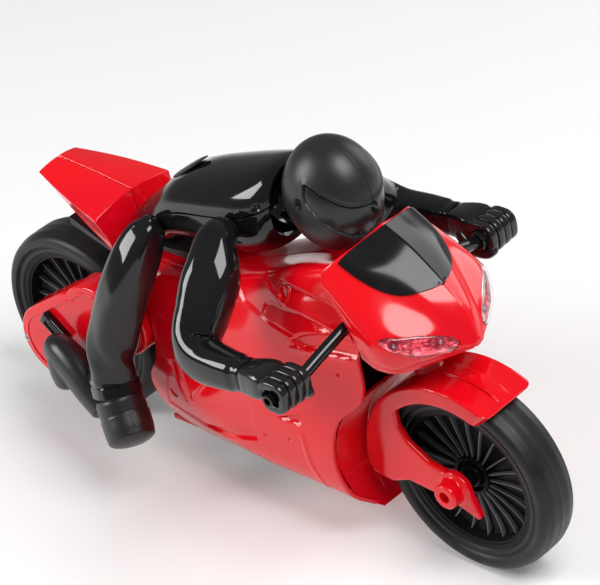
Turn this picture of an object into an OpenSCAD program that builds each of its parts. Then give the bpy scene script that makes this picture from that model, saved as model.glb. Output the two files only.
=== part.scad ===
// Radio controlled toy motorcycle with a crouching rider.
// +X points forward, +Y to the bike's left and +Z up. The origin is on the ground, under the
// middle of the whole bike, in its plane of symmetry.

/* [Wheels] */
// Distance between the two axles
wheelbase = 210; // [207:1:212]
// Outer radius of the front tyre
front_r = 41; // [40:0.5:41.5]
// Outer radius of the rear tyre
rear_r = 42; // [41:0.5:42.5]
// Width of the front tyre
front_w = 19; // [17:0.5:20]
// Width of the rear tyre
rear_w = 21; // [19:0.5:22]
// Diameter of the steel axles
axle_d = 3; // [2.6:0.1:3.2]
// Number of thin ribs on each side of a wheel disc
rim_ribs = 20; // [12:1:24]

/* [Steering] */
// Angle between the steering axis and the vertical
rake = 24; // [23:0.5:25]
// Diameter of the steering stem
stem_d = 4; // [3.4:0.1:4.4]
// Teeth on a full circle of the steering sector
sector_teeth = 36; // [36:2:38]
// Teeth on the steering motor's pinion
steer_pinion_teeth = 12; // [12:1:13]
// Tooth module of the steering gears
steer_module = 1; // [0.95:0.01:1.02]

/* [Drive gears] */
// Tooth module of the drive gears
drive_module = 0.8; // [0.78:0.01:0.8]
// Teeth on the motor pinion
pinion_teeth = 10; // [10:1:11]
// Teeth on the large ring of the first compound gear
first_teeth = 34; // [33:1:34]
// Teeth on the small ring of both compound gears
small_teeth = 14; // [13:1:14]
// Teeth on the large ring of the second compound gear and on the wheel gear
large_teeth = 32; // [31:1:32]

/* [Body] */
// Wall thickness of the moulded covers
wall = 1.6; // [1.2:0.1:1.8]
// Height of the flat belly above the ground
belly_z = 15.5; // [15:0.5:16]
// Radius of the hollow that the front wheel turns in
arch_r = 49; // [48.5:0.5:49.5]

/* [Rider] */
// Half of the helmet's height
helmet_r = 23.4; // [22.8:0.1:23.6]
// Distance from the middle of the bike to the middle of each fist
fist_y = 61; // [60:0.5:62]
// Diameter of the handlebar tubes
bar_d = 5; // [4:0.5:5.5]

/* [Hidden] */
$fn = 48;
fit = 0.05; // radial clearance of every shaft in its bore
gap = 0.3; // clearance between pieces that lie side by side
rear_x = -(wheelbase + front_r - rear_r) / 2;
front_x = rear_x + wheelbase;

// Drive gears: three layers side by side, in from the gearbox's inner wall
gear_w = 2.6;
layer_y = [-15.5, -18.6, -21.7];
gearbox_in = -13.5; // outside face of the inner wall
gearbox_out = -26.5; // outside face of the cover
gearbox_r = 17.2;
shaft_d = 2;
motor_at = [-57, 67]; // x and z of the drive motor's shaft
axle_at = [rear_x, rear_r];
mesh_wheel = drive_module * (small_teeth + large_teeth) / 2; // between centres, compound pairs
mesh_first = drive_module * (pinion_teeth + first_teeth) / 2; // motor pinion to first gear
// The first two gear centres, from the axle, bend slightly to reach the motor's shaft
train_reach = norm(motor_at - axle_at);
train_angle = atan2(motor_at.y - axle_at.y, motor_at.x - axle_at.x);
reach_two = 2 * mesh_wheel;
train_bend = acos((reach_two * reach_two + train_reach * train_reach - mesh_first * mesh_first)
                  / (2 * reach_two * train_reach));
second_at = axle_at + mesh_wheel * [cos(train_angle + train_bend), sin(train_angle + train_bend)];
first_at = axle_at + reach_two * [cos(train_angle + train_bend), sin(train_angle + train_bend)];

// Steering: distances are measured up the steering axis from the front axle
head_a = [56, 65];
sector_a = 66;
sector_w = 3;
steer_mesh = steer_module * (sector_teeth + steer_pinion_teeth) / 2;
boss_y = 20.7; // outer face of the axle bosses
boss_d = 11.2;
pin_half = 16.8; // half length of the front axle, which ends inside the bosses
fork_in = 11.5; // inner face of each fork leg
fork_out = 14.5;
guard_in = 43; // inner and outer radius of the front mudguard
guard_out = 45.2;

battery = [48, 22, 14];
battery_at = [-38, -11, 18.9];
door = [60, 24, 1.8];
door_at = [-46, -12];
belly_screws = [22, 50];
switch_at = 36; // x of the switch knob's middle in the off position
switch_travel = 4;

cowl_fine = 3; // steps between the control rows and columns of the nose cowl
lamp = [9, 15, 6, 12]; // rows and columns of the cowl's net that each headlight takes
// Half width of the wheel arch wall at five heights
arch_sides = [[12.8, belly_z], [22, 25.5], [26.2, 42], [26.6, 62], [23.6, 80]];
// x and z of the screws near the edge of the gearbox cover
screw_ring = gearbox_r - 1.9;
cover_screw_places = [axle_at + screw_ring * [cos(190), sin(190)],
                      first_at + screw_ring * [cos(60), sin(60)]];

bar_at = [72, 105.5]; // x and z of the handlebars inside the fists
helmet_at = [50.8, 0, 151];
helmet_half_l = 20.5; // half of the helmet's length and of its width
helmet_half_w = 17.8;
finger_pitch = 4; // from the middle of one finger to the next
peg = [15, 3.3, 6.5]; // foot peg's length, thickness and height
peg_at = [-105.5, 55.2]; // x and z of the peg's upper rear corner
peg_slope = 38;

red = "#d8101c";
gloss = "#101012";
matte = "#242426";
steel = "#b8bcc0";
clear = "#f0dcd8";

// ---------- shapes that repeat ----------

// Point on the smooth curve through a list of points, u steps from its start
function curve_at(list, u) =
  let (n = len(list), i = min(floor(u), n - 2), t = u - i, p1 = list[i], p2 = list[i + 1],
       p0 = i > 0 ? list[i - 1] : 2 * p1 - p2,
       p3 = i + 2 < n ? list[i + 2] : 2 * p2 - p1)
  0.5 * (2 * p1 + (p2 - p0) * t + (2 * p0 - 5 * p1 + 4 * p2 - p3) * t * t
         + (3 * p1 - p0 - 3 * p2 + p3) * t * t * t);

// The same curve as a list, with per points for each step
function smooth(list, per) = [for (k = [0 : per * (len(list) - 1)]) curve_at(list, k / per)];

// A net of control points made finer along its rows and its columns
function smooth_net(net, rows, cols) = [for (row = smooth(net, rows)) smooth(row, cols)];

function unit(v) = v / max(norm(v), 0.000001);

// Outward direction at a place of a net
function net_normal(g, i, j) =
  let (m = len(g) - 1, n = len(g[0]) - 1)
  unit(cross(g[min(i + 1, m)][j] - g[max(i - 1, 0)][j], g[i][min(j + 1, n)] - g[i][max(j - 1, 0)]));

// The net moved inward; points in the plane of symmetry stay in it
function net_inside(g, t) =
  [for (i = [0 : len(g) - 1]) [for (j = [0 : len(g[0]) - 1])
    let (p = g[i][j], q = p - t * net_normal(g, i, j)) [q.x, abs(p.y) < 0.01 ? 0 : q.y, q.z]]];

// Two triangles of a four-sided face
function two(a, b, c, d) = [[a, b, c], [a, c, d]];
function flat(lists) = [for (list = lists) each list];

// Closed panel of even thickness behind a net whose rows cross its columns outward. Each hole
// is [first row, last row, first column, last column] and is left open, with walls round it.
module panel(g, t, holes = []) {
  m = len(g) - 1;
  n = len(g[0]) - 1;
  s = (m + 1) * (n + 1);
  function id(i, j) = i * (n + 1) + j;
  function closed(i, j) =
    len([for (h = holes) if (i >= h[0] && i < h[1] && j >= h[2] && j < h[3]) h]) == 0;
  // Wall from the outer to the inner net along one grid edge
  function rim_wall(a, b) = two(a, b, s + b, s + a);
  function border(i0, i1, j0, j1) = concat(
    flat([for (j = [j0 : j1 - 1]) concat(rim_wall(id(i0, j + 1), id(i0, j)),
                                         rim_wall(id(i1, j), id(i1, j + 1)))]),
    flat([for (i = [i0 : i1 - 1]) concat(rim_wall(id(i, j0), id(i + 1, j0)),
                                         rim_wall(id(i + 1, j1), id(i, j1)))]));
  function turned(faces) = [for (f = faces) [f[2], f[1], f[0]]];
  faces = concat(
    flat([for (i = [0 : m - 1], j = [0 : n - 1]) if (closed(i, j)) concat(
      two(id(i, j), id(i, j + 1), id(i + 1, j + 1), id(i + 1, j)),
      two(s + id(i, j), s + id(i + 1, j), s + id(i + 1, j + 1), s + id(i, j + 1)))]),
    border(0, m, 0, n),
    flat([for (h = holes) turned(border(h[0], h[1], h[2], h[3]))]));
  polyhedron(concat(flat(g), flat(net_inside(g, t))), faces);
}

// Closed solid through rings of points, with a flat fan at each end
module solid(rings) {
  m = len(rings);
  n = len(rings[0]);
  s = m * n;
  middles = [for (ring = [rings[0], rings[m - 1]]) [for (k = [0 : 2])
    [for (p = ring) p[k]] * [for (p = ring) 1 / n]]];
  faces = concat(
    flat([for (i = [0 : m - 2], j = [0 : n - 1])
      two(i * n + j, i * n + (j + 1) % n, (i + 1) * n + (j + 1) % n, (i + 1) * n + j)]),
    [for (j = [0 : n - 1]) [s, (j + 1) % n, j]],
    [for (j = [0 : n - 1]) [s + 1, (m - 1) * n + j, (m - 1) * n + (j + 1) % n]]);
  polyhedron(concat(flat(rings), middles), faces);
}

// Rounded limb along a smooth path; each point is [x, y, z, radius across, radius up]
module limb(path, per = 3, sides = 16) {
  p = smooth(path, per);
  m = len(p) - 1;
  function at(i) = [p[i].x, p[i].y, p[i].z];
  rings = [for (i = [0 : m])
    let (along = unit(at(min(i + 1, m)) - at(max(i - 1, 0))),
         side = unit(cross(along, [0.2, 0, 1])), up = cross(side, along))
    [for (k = [0 : sides - 1], a = [k * 360 / sides])
      at(i) + side * p[i][3] * cos(a) + up * p[i][4] * sin(a)]];
  solid(rings);
}

// Tube or pin along Y between two places
module pin_y(x, z, y0, y1, d) {
  translate([x, min(y0, y1), z]) rotate([-90, 0, 0]) cylinder(d = d, h = abs(y1 - y0));
}

// Outline in X and Z given a thickness along Y, starting at y0
module side_plate(y0, thickness) {
  translate([0, y0 + thickness, 0]) rotate([90, 0, 0]) linear_extrude(thickness) children();
}

// The steering axis as the Z axis, with the front axle at its zero
module on_steering_axis() {
  translate([front_x, 0, front_r]) rotate([0, -rake, 0]) children();
}

// Points of an arc
function arc(r, a0, a1, steps) =
  [for (k = [0 : steps]) r * [cos(a0 + (a1 - a0) * k / steps), sin(a0 + (a1 - a0) * k / steps)]];

// Stub-tooth involute gear outline, one tooth pointing along the phase angle
module gear_outline(teeth, mod, phase, backlash = 0.14) {
  pitch_r = teeth * mod / 2;
  base_r = pitch_r * cos(20);
  tip_r = pitch_r + 0.78 * mod;
  root_r = pitch_r - 1.15 * mod;
  // Angle that an involute turns through between the base circle and radius r
  function spread(r) = let (k = sqrt(max(r * r / (base_r * base_r) - 1, 0))) k * 180 / PI - atan(k);
  half = 90 / teeth - backlash / pitch_r * 90 / PI + spread(pitch_r);
  flank = [for (k = [0 : 4]) max(base_r, root_r) + (tip_r - max(base_r, root_r)) * k / 4];
  function polar(r, a) = r * [cos(a), sin(a)];
  polygon([for (i = [0 : teeth - 1], a = [phase + i * 360 / teeth]) each concat(
    [polar(root_r, a - half)],
    [for (r = flank) polar(r, a - half + spread(r))],
    [for (k = [4 : -1 : 0]) polar(flank[k], a + half - spread(flank[k]))],
    [polar(root_r, a + half)])]);
}

// Gear of one layer of the gearbox, turning about Y at [x, z]
module drive_gear(at, layer, teeth, phase) {
  translate([at.x, layer_y[layer], at.y]) rotate([90, 0, 0])
    linear_extrude(gear_w) gear_outline(teeth, drive_module, phase);
}

// Direction, in X and Z, from one gear centre to another
function direction(a, b) = atan2(b.y - a.y, b.x - a.x);

// Screw head with a cross recess, its face at the origin and its shank towards -Z
module screw(head_d, shank_d, shank) {
  head_h = 0.9;
  difference() {
    union() {
      translate([0, 0, -head_h]) cylinder(d = head_d, h = head_h);
      translate([0, 0, -head_h - shank]) cylinder(d = shank_d, h = shank + 0.2);
    }
    for (a = [0, 90]) rotate(a) translate([-1.2, -0.3, -0.6]) cube([2.4, 0.6, 1]);
  }
}

// ---------- covers ----------

// Right half of the main fairing, from the seam on top to the edge of the belly. Rows run down
// the side and the last point of each row lies on the front edge, which follows the wheel arch.
fairing_rows = [
  [[-57, 0, 97], [-34, 0, 97], [-10, 0, 101], [14, 0, 110], [40, 0, 120], [68, 0, 125]],
  [[-57, -12, 96], [-34, -13, 96], [-10, -14, 100], [14, -16, 109], [41, -17, 123], [68, -18, 133]],
  [[-56, -18, 90], [-34, -19, 91], [-10, -21, 94], [16, -23, 99], [43, -24, 114], [70, -23, 119]],
  [[-46, -21, 80], [-28, -23, 81], [-8, -26, 84], [18, -28, 88], [46, -28, 97], [76, -26, 99]],
  [[-42.5, -23, 68], [-26, -26, 69], [-6, -28, 72], [18, -30, 76], [45, -30, 81], [76, -27, 80]],
  [[-42.5, -24, 56], [-26, -27, 57], [-6, -29, 59], [16, -31, 61], [38, -31, 63], [62, -29, 64]],
  [[-49, -23, 44], [-30, -26, 43], [-8, -28, 43], [14, -29, 44], [36, -29, 44], [56.7, -28.5, 44]],
  [[-50, -20, 32], [-30, -22, 29], [-8, -24, 28], [14, -25, 27], [36, -25, 27], [59, -25, 26.5]],
  [[-48, -15, 20], [-30, -15.3, 17], [-8, -15.5, 16.5], [14, -15.5, 16.5], [38, -15.5, 16.5],
   [62.5, -15.5, 17]]];

module fairing_half() {
  panel(smooth_net(fairing_rows, 3, 3), wall);
}

module fairing_right() {
  color(red) fairing_half();
}

module fairing_left() {
  color(red) mirror([0, 1, 0]) fairing_half();
}

// Flat underside between the two fairing halves, with the openings of the battery and the switch
module belly_pan() {
  color(red) difference() {
    translate([-51, -13.4, belly_z]) cube([113, 26.8, door.z]);
    translate([door_at.x - gap, door_at.y - gap, belly_z - 1])
      cube([door.x + 2 * gap, door.y + 2 * gap, 4]);
    translate([switch_at - 2, -1.9, belly_z - 1]) cube([switch_travel + 4, 3.8, 4]);
    for (x = belly_screws) translate([x, 0, belly_z - 1]) cylinder(d = 2.2, h = 4);
    for (x = belly_screws) translate([x, 0, belly_z - 1]) cylinder(d = 5, h = 2.1);
  }
}

// Curved wall behind the front wheel, as wide as the fairing is at each height
module wheel_arch() {
  color(red) intersection() {
    side_plate(-30, 60) translate([front_x, front_r]) difference() {
      circle(r = arch_r + 1.4);
      circle(r = arch_r);
      // Kept from the belly up to just under the steering motor
      polygon([[0, 0], [-80, -37], [-80, -80], [80, -80], [80, 80], [-34, 80], [-34, 34]]);
    }
    translate([40, 0, 0]) rotate([90, 0, 90]) linear_extrude(60)
      polygon([for (s = [-1, 1], p = s < 0 ? arch_sides : [for (k = [4 : -1 : 0]) arch_sides[k]])
               [s * p.x, p.y]]);
  }
}

// Nose cowl from its upright rear edge to the nose. Each row runs forward; rows go from the
// centre line on top down the right side to the lower lip.
cowl_rows = [
  [[73, 0, 144], [87, 0, 137], [99.7, 0, 127.3], [107.5, 0, 120], [112, 0, 114], [115.4, 0, 106.5]],
  [[71, -11, 141.2], [86, -10, 134.4], [98, -8, 125.9], [106.5, -5.5, 118.4], [111.6, -3, 113],
   [115.4, -0.9, 106]],
  [[67.5, -21.2, 138], [81.5, -19.5, 131.5], [95, -16, 122.8], [105, -11, 116], [111, -6, 111],
   [115.3, -1.8, 105.5]],
  [[63, -26.5, 131], [79, -28, 125], [94, -27, 117.5], [104, -19, 113], [110.5, -10, 109],
   [115.2, -2.5, 105]],
  [[70, -28, 122], [82, -31, 116.5], [93.5, -31, 112.5], [103.5, -22.5, 109], [110.2, -12, 107],
   [115.1, -2.8, 104.4]],
  [[78, -29, 112], [87, -31, 107.5], [95, -29.5, 105.5], [103, -22, 104.5], [109.8, -11.5, 104],
   [115, -2.4, 103.8]],
  [[81, -28.5, 102], [89, -28.5, 99.5], [97, -25.5, 99], [103, -18, 100], [109, -9.5, 101.5],
   [114.6, -1.8, 103]]];

cowl_side = smooth_net(cowl_rows, cowl_fine, cowl_fine);

// Rows of a net on the right, put together with their mirror image on the left
function both_sides(side) = concat(
  [for (i = [len(side) - 1 : -1 : 1]) [for (p = side[i]) [p.x, -p.y, p.z]]], side);

module nose_cowl() {
  centre = len(cowl_side) - 1;
  color(red) panel(both_sides(cowl_side), wall, [
    [centre + lamp[0] + 1, centre + lamp[1] - 1, lamp[2] + 1, lamp[3] - 1],
    [centre - lamp[1] + 1, centre - lamp[0] - 1, lamp[2] + 1, lamp[3] - 1]]);
}

// A net lifted off its own surface by a given height
function lifted(net, h) =
  [for (i = [0 : len(net) - 1]) [for (j = [0 : len(net[0]) - 1])
    net[i][j] + h * net_normal(net, i, j)]];

// Part of the cowl's net under the headlight lens, at a height above the cowl
function lamp_net(h) = let (up = lifted(cowl_side, h))
  [for (i = [lamp[0] : lamp[1]]) [for (j = [lamp[2] : lamp[3]]) up[i][j]]];

// Glossy screen that lies on top of the cowl, pointed at its front end
module windscreen() {
  up = lifted(cowl_side, 1.5);
  low = 2 * cowl_fine; // row of the net that the screen's lower edge starts on
  tip = 7; // column of the net where the screen ends
  function narrow(j) = 1 - 0.85 * pow(j / tip, 3);
  side = [for (i = [0 : low]) [for (j = [0 : tip])
    curve_at([for (k = [0 : low]) up[k][j]], i * narrow(j))]];
  color(gloss) panel(both_sides(side), 1.2);
}

// Clear lens over one headlight, following the cowl
module headlight_lens() {
  panel(lamp_net(1.15), 0.9);
}

module headlight_lens_right() {
  color(clear) headlight_lens();
}

module headlight_lens_left() {
  color(clear) mirror([0, 1, 0]) headlight_lens();
}

// Reflector bowl behind the cowl's wall
module headlight_reflector() {
  panel(lamp_net(-2.1), 0.8);
}

module headlight_reflector_right() {
  color(red) headlight_reflector();
}

module headlight_reflector_left() {
  color(red) mirror([0, 1, 0]) headlight_reflector();
}

// Two small lamps, each standing behind its reflector
module headlight_leds() {
  color("white") for (s = [-1, 1]) translate([93.5, s * 17, 107]) rotate([0, 65, 0]) {
    cylinder(d = 3, h = 3.2);
    translate([0, 0, 3.2]) sphere(d = 3);
    translate([0, 0, -0.8]) cylinder(d = 3.8, h = 0.9);
  }
}

// Right half of the tail: a flat-topped wedge that narrows to the rear
tail_rows = [
  [[-60.5, 0, 105], [-65.5, 0, 116], [-86, 0, 118], [-107.2, 0, 119.1], [-106, 0, 115.6]],
  [[-60.5, -18, 103], [-65.8, -21.9, 112.5], [-87, -16.4, 115], [-108.5, -10.8, 116.8],
   [-107, -10, 114.8]],
  [[-62, -17, 98], [-68.6, -18.5, 94.5], [-88, -13.5, 104.5], [-107.4, -9.6, 113.6],
   [-106.6, -9.2, 113]],
  [[-62, 0, 98], [-69, 0, 94], [-88, 0, 104], [-106.6, 0, 113.4], [-106, 0, 113]]];

module tail_cowl_half() {
  // The rows run rearward here, so they are turned round to keep the outside outward
  panel([for (row = tail_rows) [for (k = [len(row) - 1 : -1 : 0]) row[k]]], 1.2);
}

module tail_cowl_right() {
  color(red) tail_cowl_half();
}

module tail_cowl_left() {
  color(red) mirror([0, 1, 0]) tail_cowl_half();
}

// Black base that the rider sits on and that the tail bolts to
module seat_base() {
  color(matte) difference() {
    side_plate(-13, 26) polygon([[-92, 98], [-58, 88], [-58, 91.5], [-60, 93.2], [-68, 92.2],
                                 [-92, 101.5]]);
    for (x = [-72, -84]) translate([x, 0, 80]) cylinder(d = 2.4, h = 40);
  }
  color(matte) side_plate(-9, 18) polygon([[-60, 98.8], [-20, 99.2], [-20, 104], [-38, 101.2],
                                          [-58, 100.8]]);
}

// ---------- chassis ----------

// Inner frame: battery box, spine, motor cradle and steering head
module chassis_frame() {
  color(matte) difference() {
    union() {
      translate([-41, -13.4, 18.2]) cube([54, 26.8, 18]);
      translate([-46.5, -4, 17.4]) cube([6, 8, 10]);
      side_plate(-3, 6) polygon([[-40, 36], [13, 36], [16, 18.8], [54, 18.8], [52, 40], [58, 62],
                                 [64, 72], [62, 78], [44, 88], [30, 92], [-56, 92], [-56, 80],
                                 [-40, 77]]);
      on_steering_axis() translate([0, 0, head_a[0]]) cylinder(d = 9, h = head_a[1] - head_a[0]);
      side_plate(-2, 4) polygon([[60, 74], [80, 87], [82, 95], [70, 97], [50, 88]]);
      translate([-58, -10.4, 80.2]) cube([20, 20.8, 3]);
    }
    translate([battery_at.x - 0.6, battery_at.y - 0.6, 17])
      cube([battery.x + 1.2, battery.y + 1.2, battery.z + 2.4]);
    on_steering_axis() translate([0, 0, head_a[0] - 5]) cylinder(d = stem_d + 2 * fit, h = 20);
    translate([door_at.x + 2.5, 0, 15]) cylinder(d = 2, h = 8);
    for (x = belly_screws) translate([x, 0, 18]) cylinder(d = 2.1, h = 4);
    // Room for the steering motor and for the wheel's swing
    on_steering_axis() translate([-steer_mesh, 0, 44]) cylinder(d = 13, h = 28);
    side_plate(-20, 40) translate([front_x, front_r]) circle(r = arch_r + 1.8);
  }
}

module battery_pack() {
  color("#2a5c9a") for (k = [0 : 3]) translate([battery_at.x + 6 + k * 12, 0, battery_at.z + 6.8])
    pin_y(0, 0, -10.6, 10.6, 11.6);
  color("#2a5c9a") translate(battery_at + [5, 4, 0.4]) cube([38, 14, 0.8]);
  color("#2a5c9a") for (k = [0 : 3]) translate([battery_at.x + 4.6 + k * 12, -7, battery_at.z + 1])
    cube([2.8, 14, 2]);
}

// Cover of the battery box with finger ribs, level with the belly
module battery_door() {
  color(matte) difference() {
    union() {
      translate([door_at.x, door_at.y, belly_z]) cube(door);
      // Tongue that hooks over the belly pan
      translate([door_at.x + door.x - 3, -4, belly_z + door.z - 0.01]) cube([5, 8, 0.8]);
    }
    translate([door_at.x + 2.5, 0, belly_z - 1]) cylinder(d = 2.2, h = 4);
    translate([door_at.x + 2.5, 0, belly_z - 1]) cylinder(d = 4.4, h = 2.1);
    for (k = [0 : 4]) translate([k * 2.4, -6, belly_z - 0.1]) cube([1.2, 12, 0.5]);
  }
}

module circuit_board() {
  color("#1f6b3a") difference() {
    translate([16, 4, 40]) cube([34, 1.6, 34]);
    for (x = [19, 47], z = [43, 71]) pin_y(x, z, 3, 7, 2.2);
  }
  color("#161616") {
    translate([24, 5.6, 50]) cube([8, 1.6, 10]);
    translate([38, 5.6, 60]) cube([5, 2.2, 5]);
    pin_y(44, 50, 5.6, 12, 5);
    pin_y(21.5, 66, 5.6, 8.5, 3);
  }
  color(steel) pin_y(31, 69, 5.6, 9, 4);
}

// Slide switch in the belly: the knob stands through its slot
module power_switch() {
  color(gloss) {
    translate([switch_at - 4.2, -3, belly_z + door.z + 0.1]) cube([8.4, 6, 1.2]);
    translate([switch_at - 1, -1.6, belly_z - 1.2]) cube([2, 3.2, 3.2]);
  }
}

// ---------- drive ----------

module drive_motor() {
  color(steel) difference() {
    union() {
      pin_y(motor_at.x, motor_at.y, -10, 11, 20);
      pin_y(motor_at.x, motor_at.y, -13.2, -10, 6);
      pin_y(motor_at.x, motor_at.y, 11, 12.6, 6);
    }
    pin_y(motor_at.x, motor_at.y, -14, 9, shaft_d + 2 * fit);
  }
}

// The motor's shaft with its pinion
module motor_pinion() {
  color("#c8a048") {
    drive_gear(motor_at, 0, pinion_teeth, direction(motor_at, first_at));
    pin_y(motor_at.x, motor_at.y, -18.6, 8.5, shaft_d);
  }
}

// Compound gear: a large ring and a small one side by side on one hub
module compound(at, layer, large, large_phase, small_phase) {
  difference() {
    union() {
      drive_gear(at, layer, large, large_phase);
      translate([0, 0.5 - 0.01, 0]) drive_gear(at, layer + 1, small_teeth, small_phase);
      pin_y(at.x, at.y, layer_y[layer] - gear_w - 0.6, layer_y[layer] - gear_w + 0.1,
            drive_module * (small_teeth - 3));
    }
    pin_y(at.x, at.y, -12, -28, shaft_d + 2 * fit);
  }
}

// Phase that puts a gap of the second gear where the first gear has a tooth
function meshed(from, to, teeth) = direction(to, from) + 180 / teeth;

module first_gear() {
  color("ivory") compound(first_at, 0, first_teeth, meshed(motor_at, first_at, first_teeth),
                          direction(first_at, second_at));
}

module second_gear() {
  color("ivory") compound(second_at, 1, large_teeth, meshed(first_at, second_at, large_teeth),
                          direction(second_at, axle_at));
}

// Fixed steel pins that the two compound gears turn on
module gear_shafts() {
  color(steel) for (at = [first_at, second_at])
    pin_y(at.x, at.y, gearbox_in - 0.4, gearbox_out + 0.6, shaft_d);
}

module wheel_gear() {
  color("ivory") difference() {
    drive_gear(axle_at, 2, large_teeth, meshed(second_at, axle_at, large_teeth));
    pin_y(rear_x, rear_r, -12, -28, axle_d);
  }
}

// Side outline of the gearbox
module gearbox_outline(r) {
  hull() {
    translate(axle_at) circle(r = r);
    translate([-84, 56]) circle(r = r);
  }
  hull() {
    translate([-84, 56]) circle(r = r);
    translate(motor_at) circle(r = r * 0.78);
  }
  translate(first_at) circle(r = r);
}

// Inner wall of the gearbox, which carries the motor and the right end of the axle
module gearbox_plate() {
  color(red) difference() {
    side_plate(gearbox_in - 1.5, 1.5) gearbox_outline(gearbox_r - 1.7);
    pin_y(rear_x, rear_r, -10, -20, axle_d + 2 * fit);
    pin_y(motor_at.x, motor_at.y, -10, -20, 6);
    for (at = [first_at, second_at]) pin_y(at.x, at.y, -10, -20, shaft_d);
  }
}

// Outer cover of the gearbox, a tray that closes over the inner wall
module gearbox_cover() {
  color(red) difference() {
    side_plate(gearbox_out, gearbox_in - gearbox_out) gearbox_outline(gearbox_r);
    side_plate(gearbox_out + 1.5, 20) gearbox_outline(gearbox_r - 1.6);
    pin_y(rear_x, rear_r, -24, -30, axle_d + 2 * fit);
    for (at = [first_at, second_at]) pin_y(at.x, at.y, -24, gearbox_out + 0.5, shaft_d);
    for (at = cover_screw_places) pin_y(at.x, at.y, gearbox_out - 1, gearbox_out + 1, 3.7);
    for (at = cover_screw_places) pin_y(at.x, at.y, -30, -20, 1.6);
  }
}

// Left arm that holds the other end of the rear axle
module swingarm_left() {
  color(red) difference() {
    union() {
      side_plate(13.5, 5) hull() {
        translate(axle_at) circle(r = 9);
        translate([-76, 58]) circle(r = 9);
      }
      side_plate(13.5, 5) hull() {
        translate([-76, 58]) circle(r = 9);
        translate([-60, 66]) circle(r = 11);
      }
      pin_y(rear_x, rear_r, 12, 22, 11);
    }
    pin_y(rear_x, rear_r, 10, 19.5, axle_d + 2 * fit);
    pin_y(motor_at.x, motor_at.y, 10, 15.5, 6.4);
  }
}

// Steel axle, turning with the wheel and its gear
module rear_axle() {
  color(steel) pin_y(rear_x, rear_r, -25.6, 19, axle_d);
}

// ---------- wheels ----------

// Moulded wheel about Y: hub, dished disc and bead ring, with thin ribs on both sides
module rim(bead_r, half_w, hub_half, bore_d) {
  rotate([90, 0, 0]) difference() {
    union() {
      rotate_extrude() polygon([[0, -hub_half], [5.2, -hub_half], [5.2, -3], [7, -1.6],
        [bead_r - 3, -1.6], [bead_r - 2.4, -half_w + 1], [bead_r, -half_w + 1],
        [bead_r, half_w - 1], [bead_r - 2.4, half_w - 1], [bead_r - 3, 1.6], [7, 1.6],
        [5.2, 3], [5.2, hub_half], [0, hub_half]]);
      for (k = [0 : rim_ribs - 1]) rotate(k * 360 / rim_ribs)
        translate([4.6, -0.5, -3.4]) cube([bead_r - 6.6, 1, 6.8]);
    }
    translate([0, 0, -20]) cylinder(d = bore_d, h = 40);
  }
}

// Slick tyre with a flat tread, rounded shoulders and a hollow bead seat
module tyre(r, w, bead_r) {
  rotate([90, 0, 0]) rotate_extrude($fn = 96) polygon(concat(
    [[bead_r, -w / 2 + 2], [bead_r + 1, -w / 2 + 1.6]],
    [for (p = arc(3.4, -90, -25, 5)) [r - 3.9, -w / 2 + 3.4] + [p.x, p.y]],
    [[r, -w / 2 + 5], [r, w / 2 - 5]],
    [for (p = arc(3.4, 25, 90, 5)) [r - 3.9, w / 2 - 3.4] + [p.x, p.y]],
    [[bead_r + 1, w / 2 - 1.6], [bead_r, w / 2 - 2]]));
}

module rear_rim() {
  color(gloss) translate([rear_x, 0, rear_r]) rim(33.2, rear_w / 2 - 1, 11.2, axle_d);
}

module rear_tyre() {
  color("#303034") translate([rear_x, 0, rear_r]) tyre(rear_r, rear_w, 33.2);
}

module front_rim() {
  color(gloss) translate([front_x, 0, front_r]) rim(31.3, front_w / 2 - 1, 10.4, axle_d + 2 * fit);
}

module front_tyre() {
  color("#303034") translate([front_x, 0, front_r]) tyre(front_r, front_w, 31.3);
}

// ---------- fork ----------

// Side outline of a fork leg about the axle: the skirt of the mudguard, the arm that sweeps
// down behind the wheel, and the boss
module leg_outline() {
  polygon(concat(arc(guard_out, 62, 186, 24),
    [[-40, -9], [-33, -9.5], [-24, -5.5], [-12, -6.5], [-4, -5], [4, -3], [4, 4], [-2, 6],
     [-12.5, 8], [-22, 14], [-26, 20], [-26.5, 27]], arc(37.2, 132, 66, 10)));
}

module front_fork() {
  color(red) difference() {
    union() {
      translate([front_x, 0, front_r]) {
        for (s = [-1, 1]) {
          side_plate(s > 0 ? fork_in : -fork_out, fork_out - fork_in) leg_outline();
          pin_y(0, 0, s * fork_in, s * boss_y, boss_d);
          side_plate(s > 0 ? fork_in : -fork_out, fork_out - fork_in)
            polygon([[-1, -6.5], [10.8, -10.6], [12, -9.2], [7.4, 1]]);
        }
        side_plate(-fork_out, 2 * fork_out) polygon(concat(arc(guard_out, 62, 172, 24),
                                                           arc(guard_in, 172, 62, 24)));
        // Raised band along the middle of the mudguard
        side_plate(-5, 10) polygon(concat(arc(guard_out + 1, 66, 100, 10),
                                          arc(guard_out - 1, 100, 66, 10)));
      }
      on_steering_axis() translate([0, 0, guard_in + 0.6]) cylinder(d = 11, h = 8);
    }
    translate([front_x, 0, front_r]) for (s = [-1, 1]) {
      pin_y(0, 0, s * 5, s * pin_half, axle_d);
      pin_y(0, 0, s * (pin_half + 0.2), s * 25, 4);
    }
    on_steering_axis() translate([0, 0, guard_in + 1.6]) cylinder(d = stem_d, h = 20);
  }
}

// Steel stem pressed into the fork's crown
module steering_stem() {
  color(steel) on_steering_axis() translate([0, 0, guard_in + 1.8])
    cylinder(d = stem_d, h = sector_a + sector_w + 1 - guard_in - 1.8);
}

// Toothed sector fixed to the top of the stem
module steering_sector() {
  color("ivory") on_steering_axis() translate([0, 0, sector_a]) difference() {
    linear_extrude(sector_w) union() {
      intersection() {
        gear_outline(sector_teeth, steer_module, 180);
        polygon(concat([[0, 0]], arc(40, 140, 220, 6)));
      }
      circle(d = 11);
    }
    translate([0, 0, -1]) cylinder(d = stem_d, h = 10);
  }
}

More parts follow.
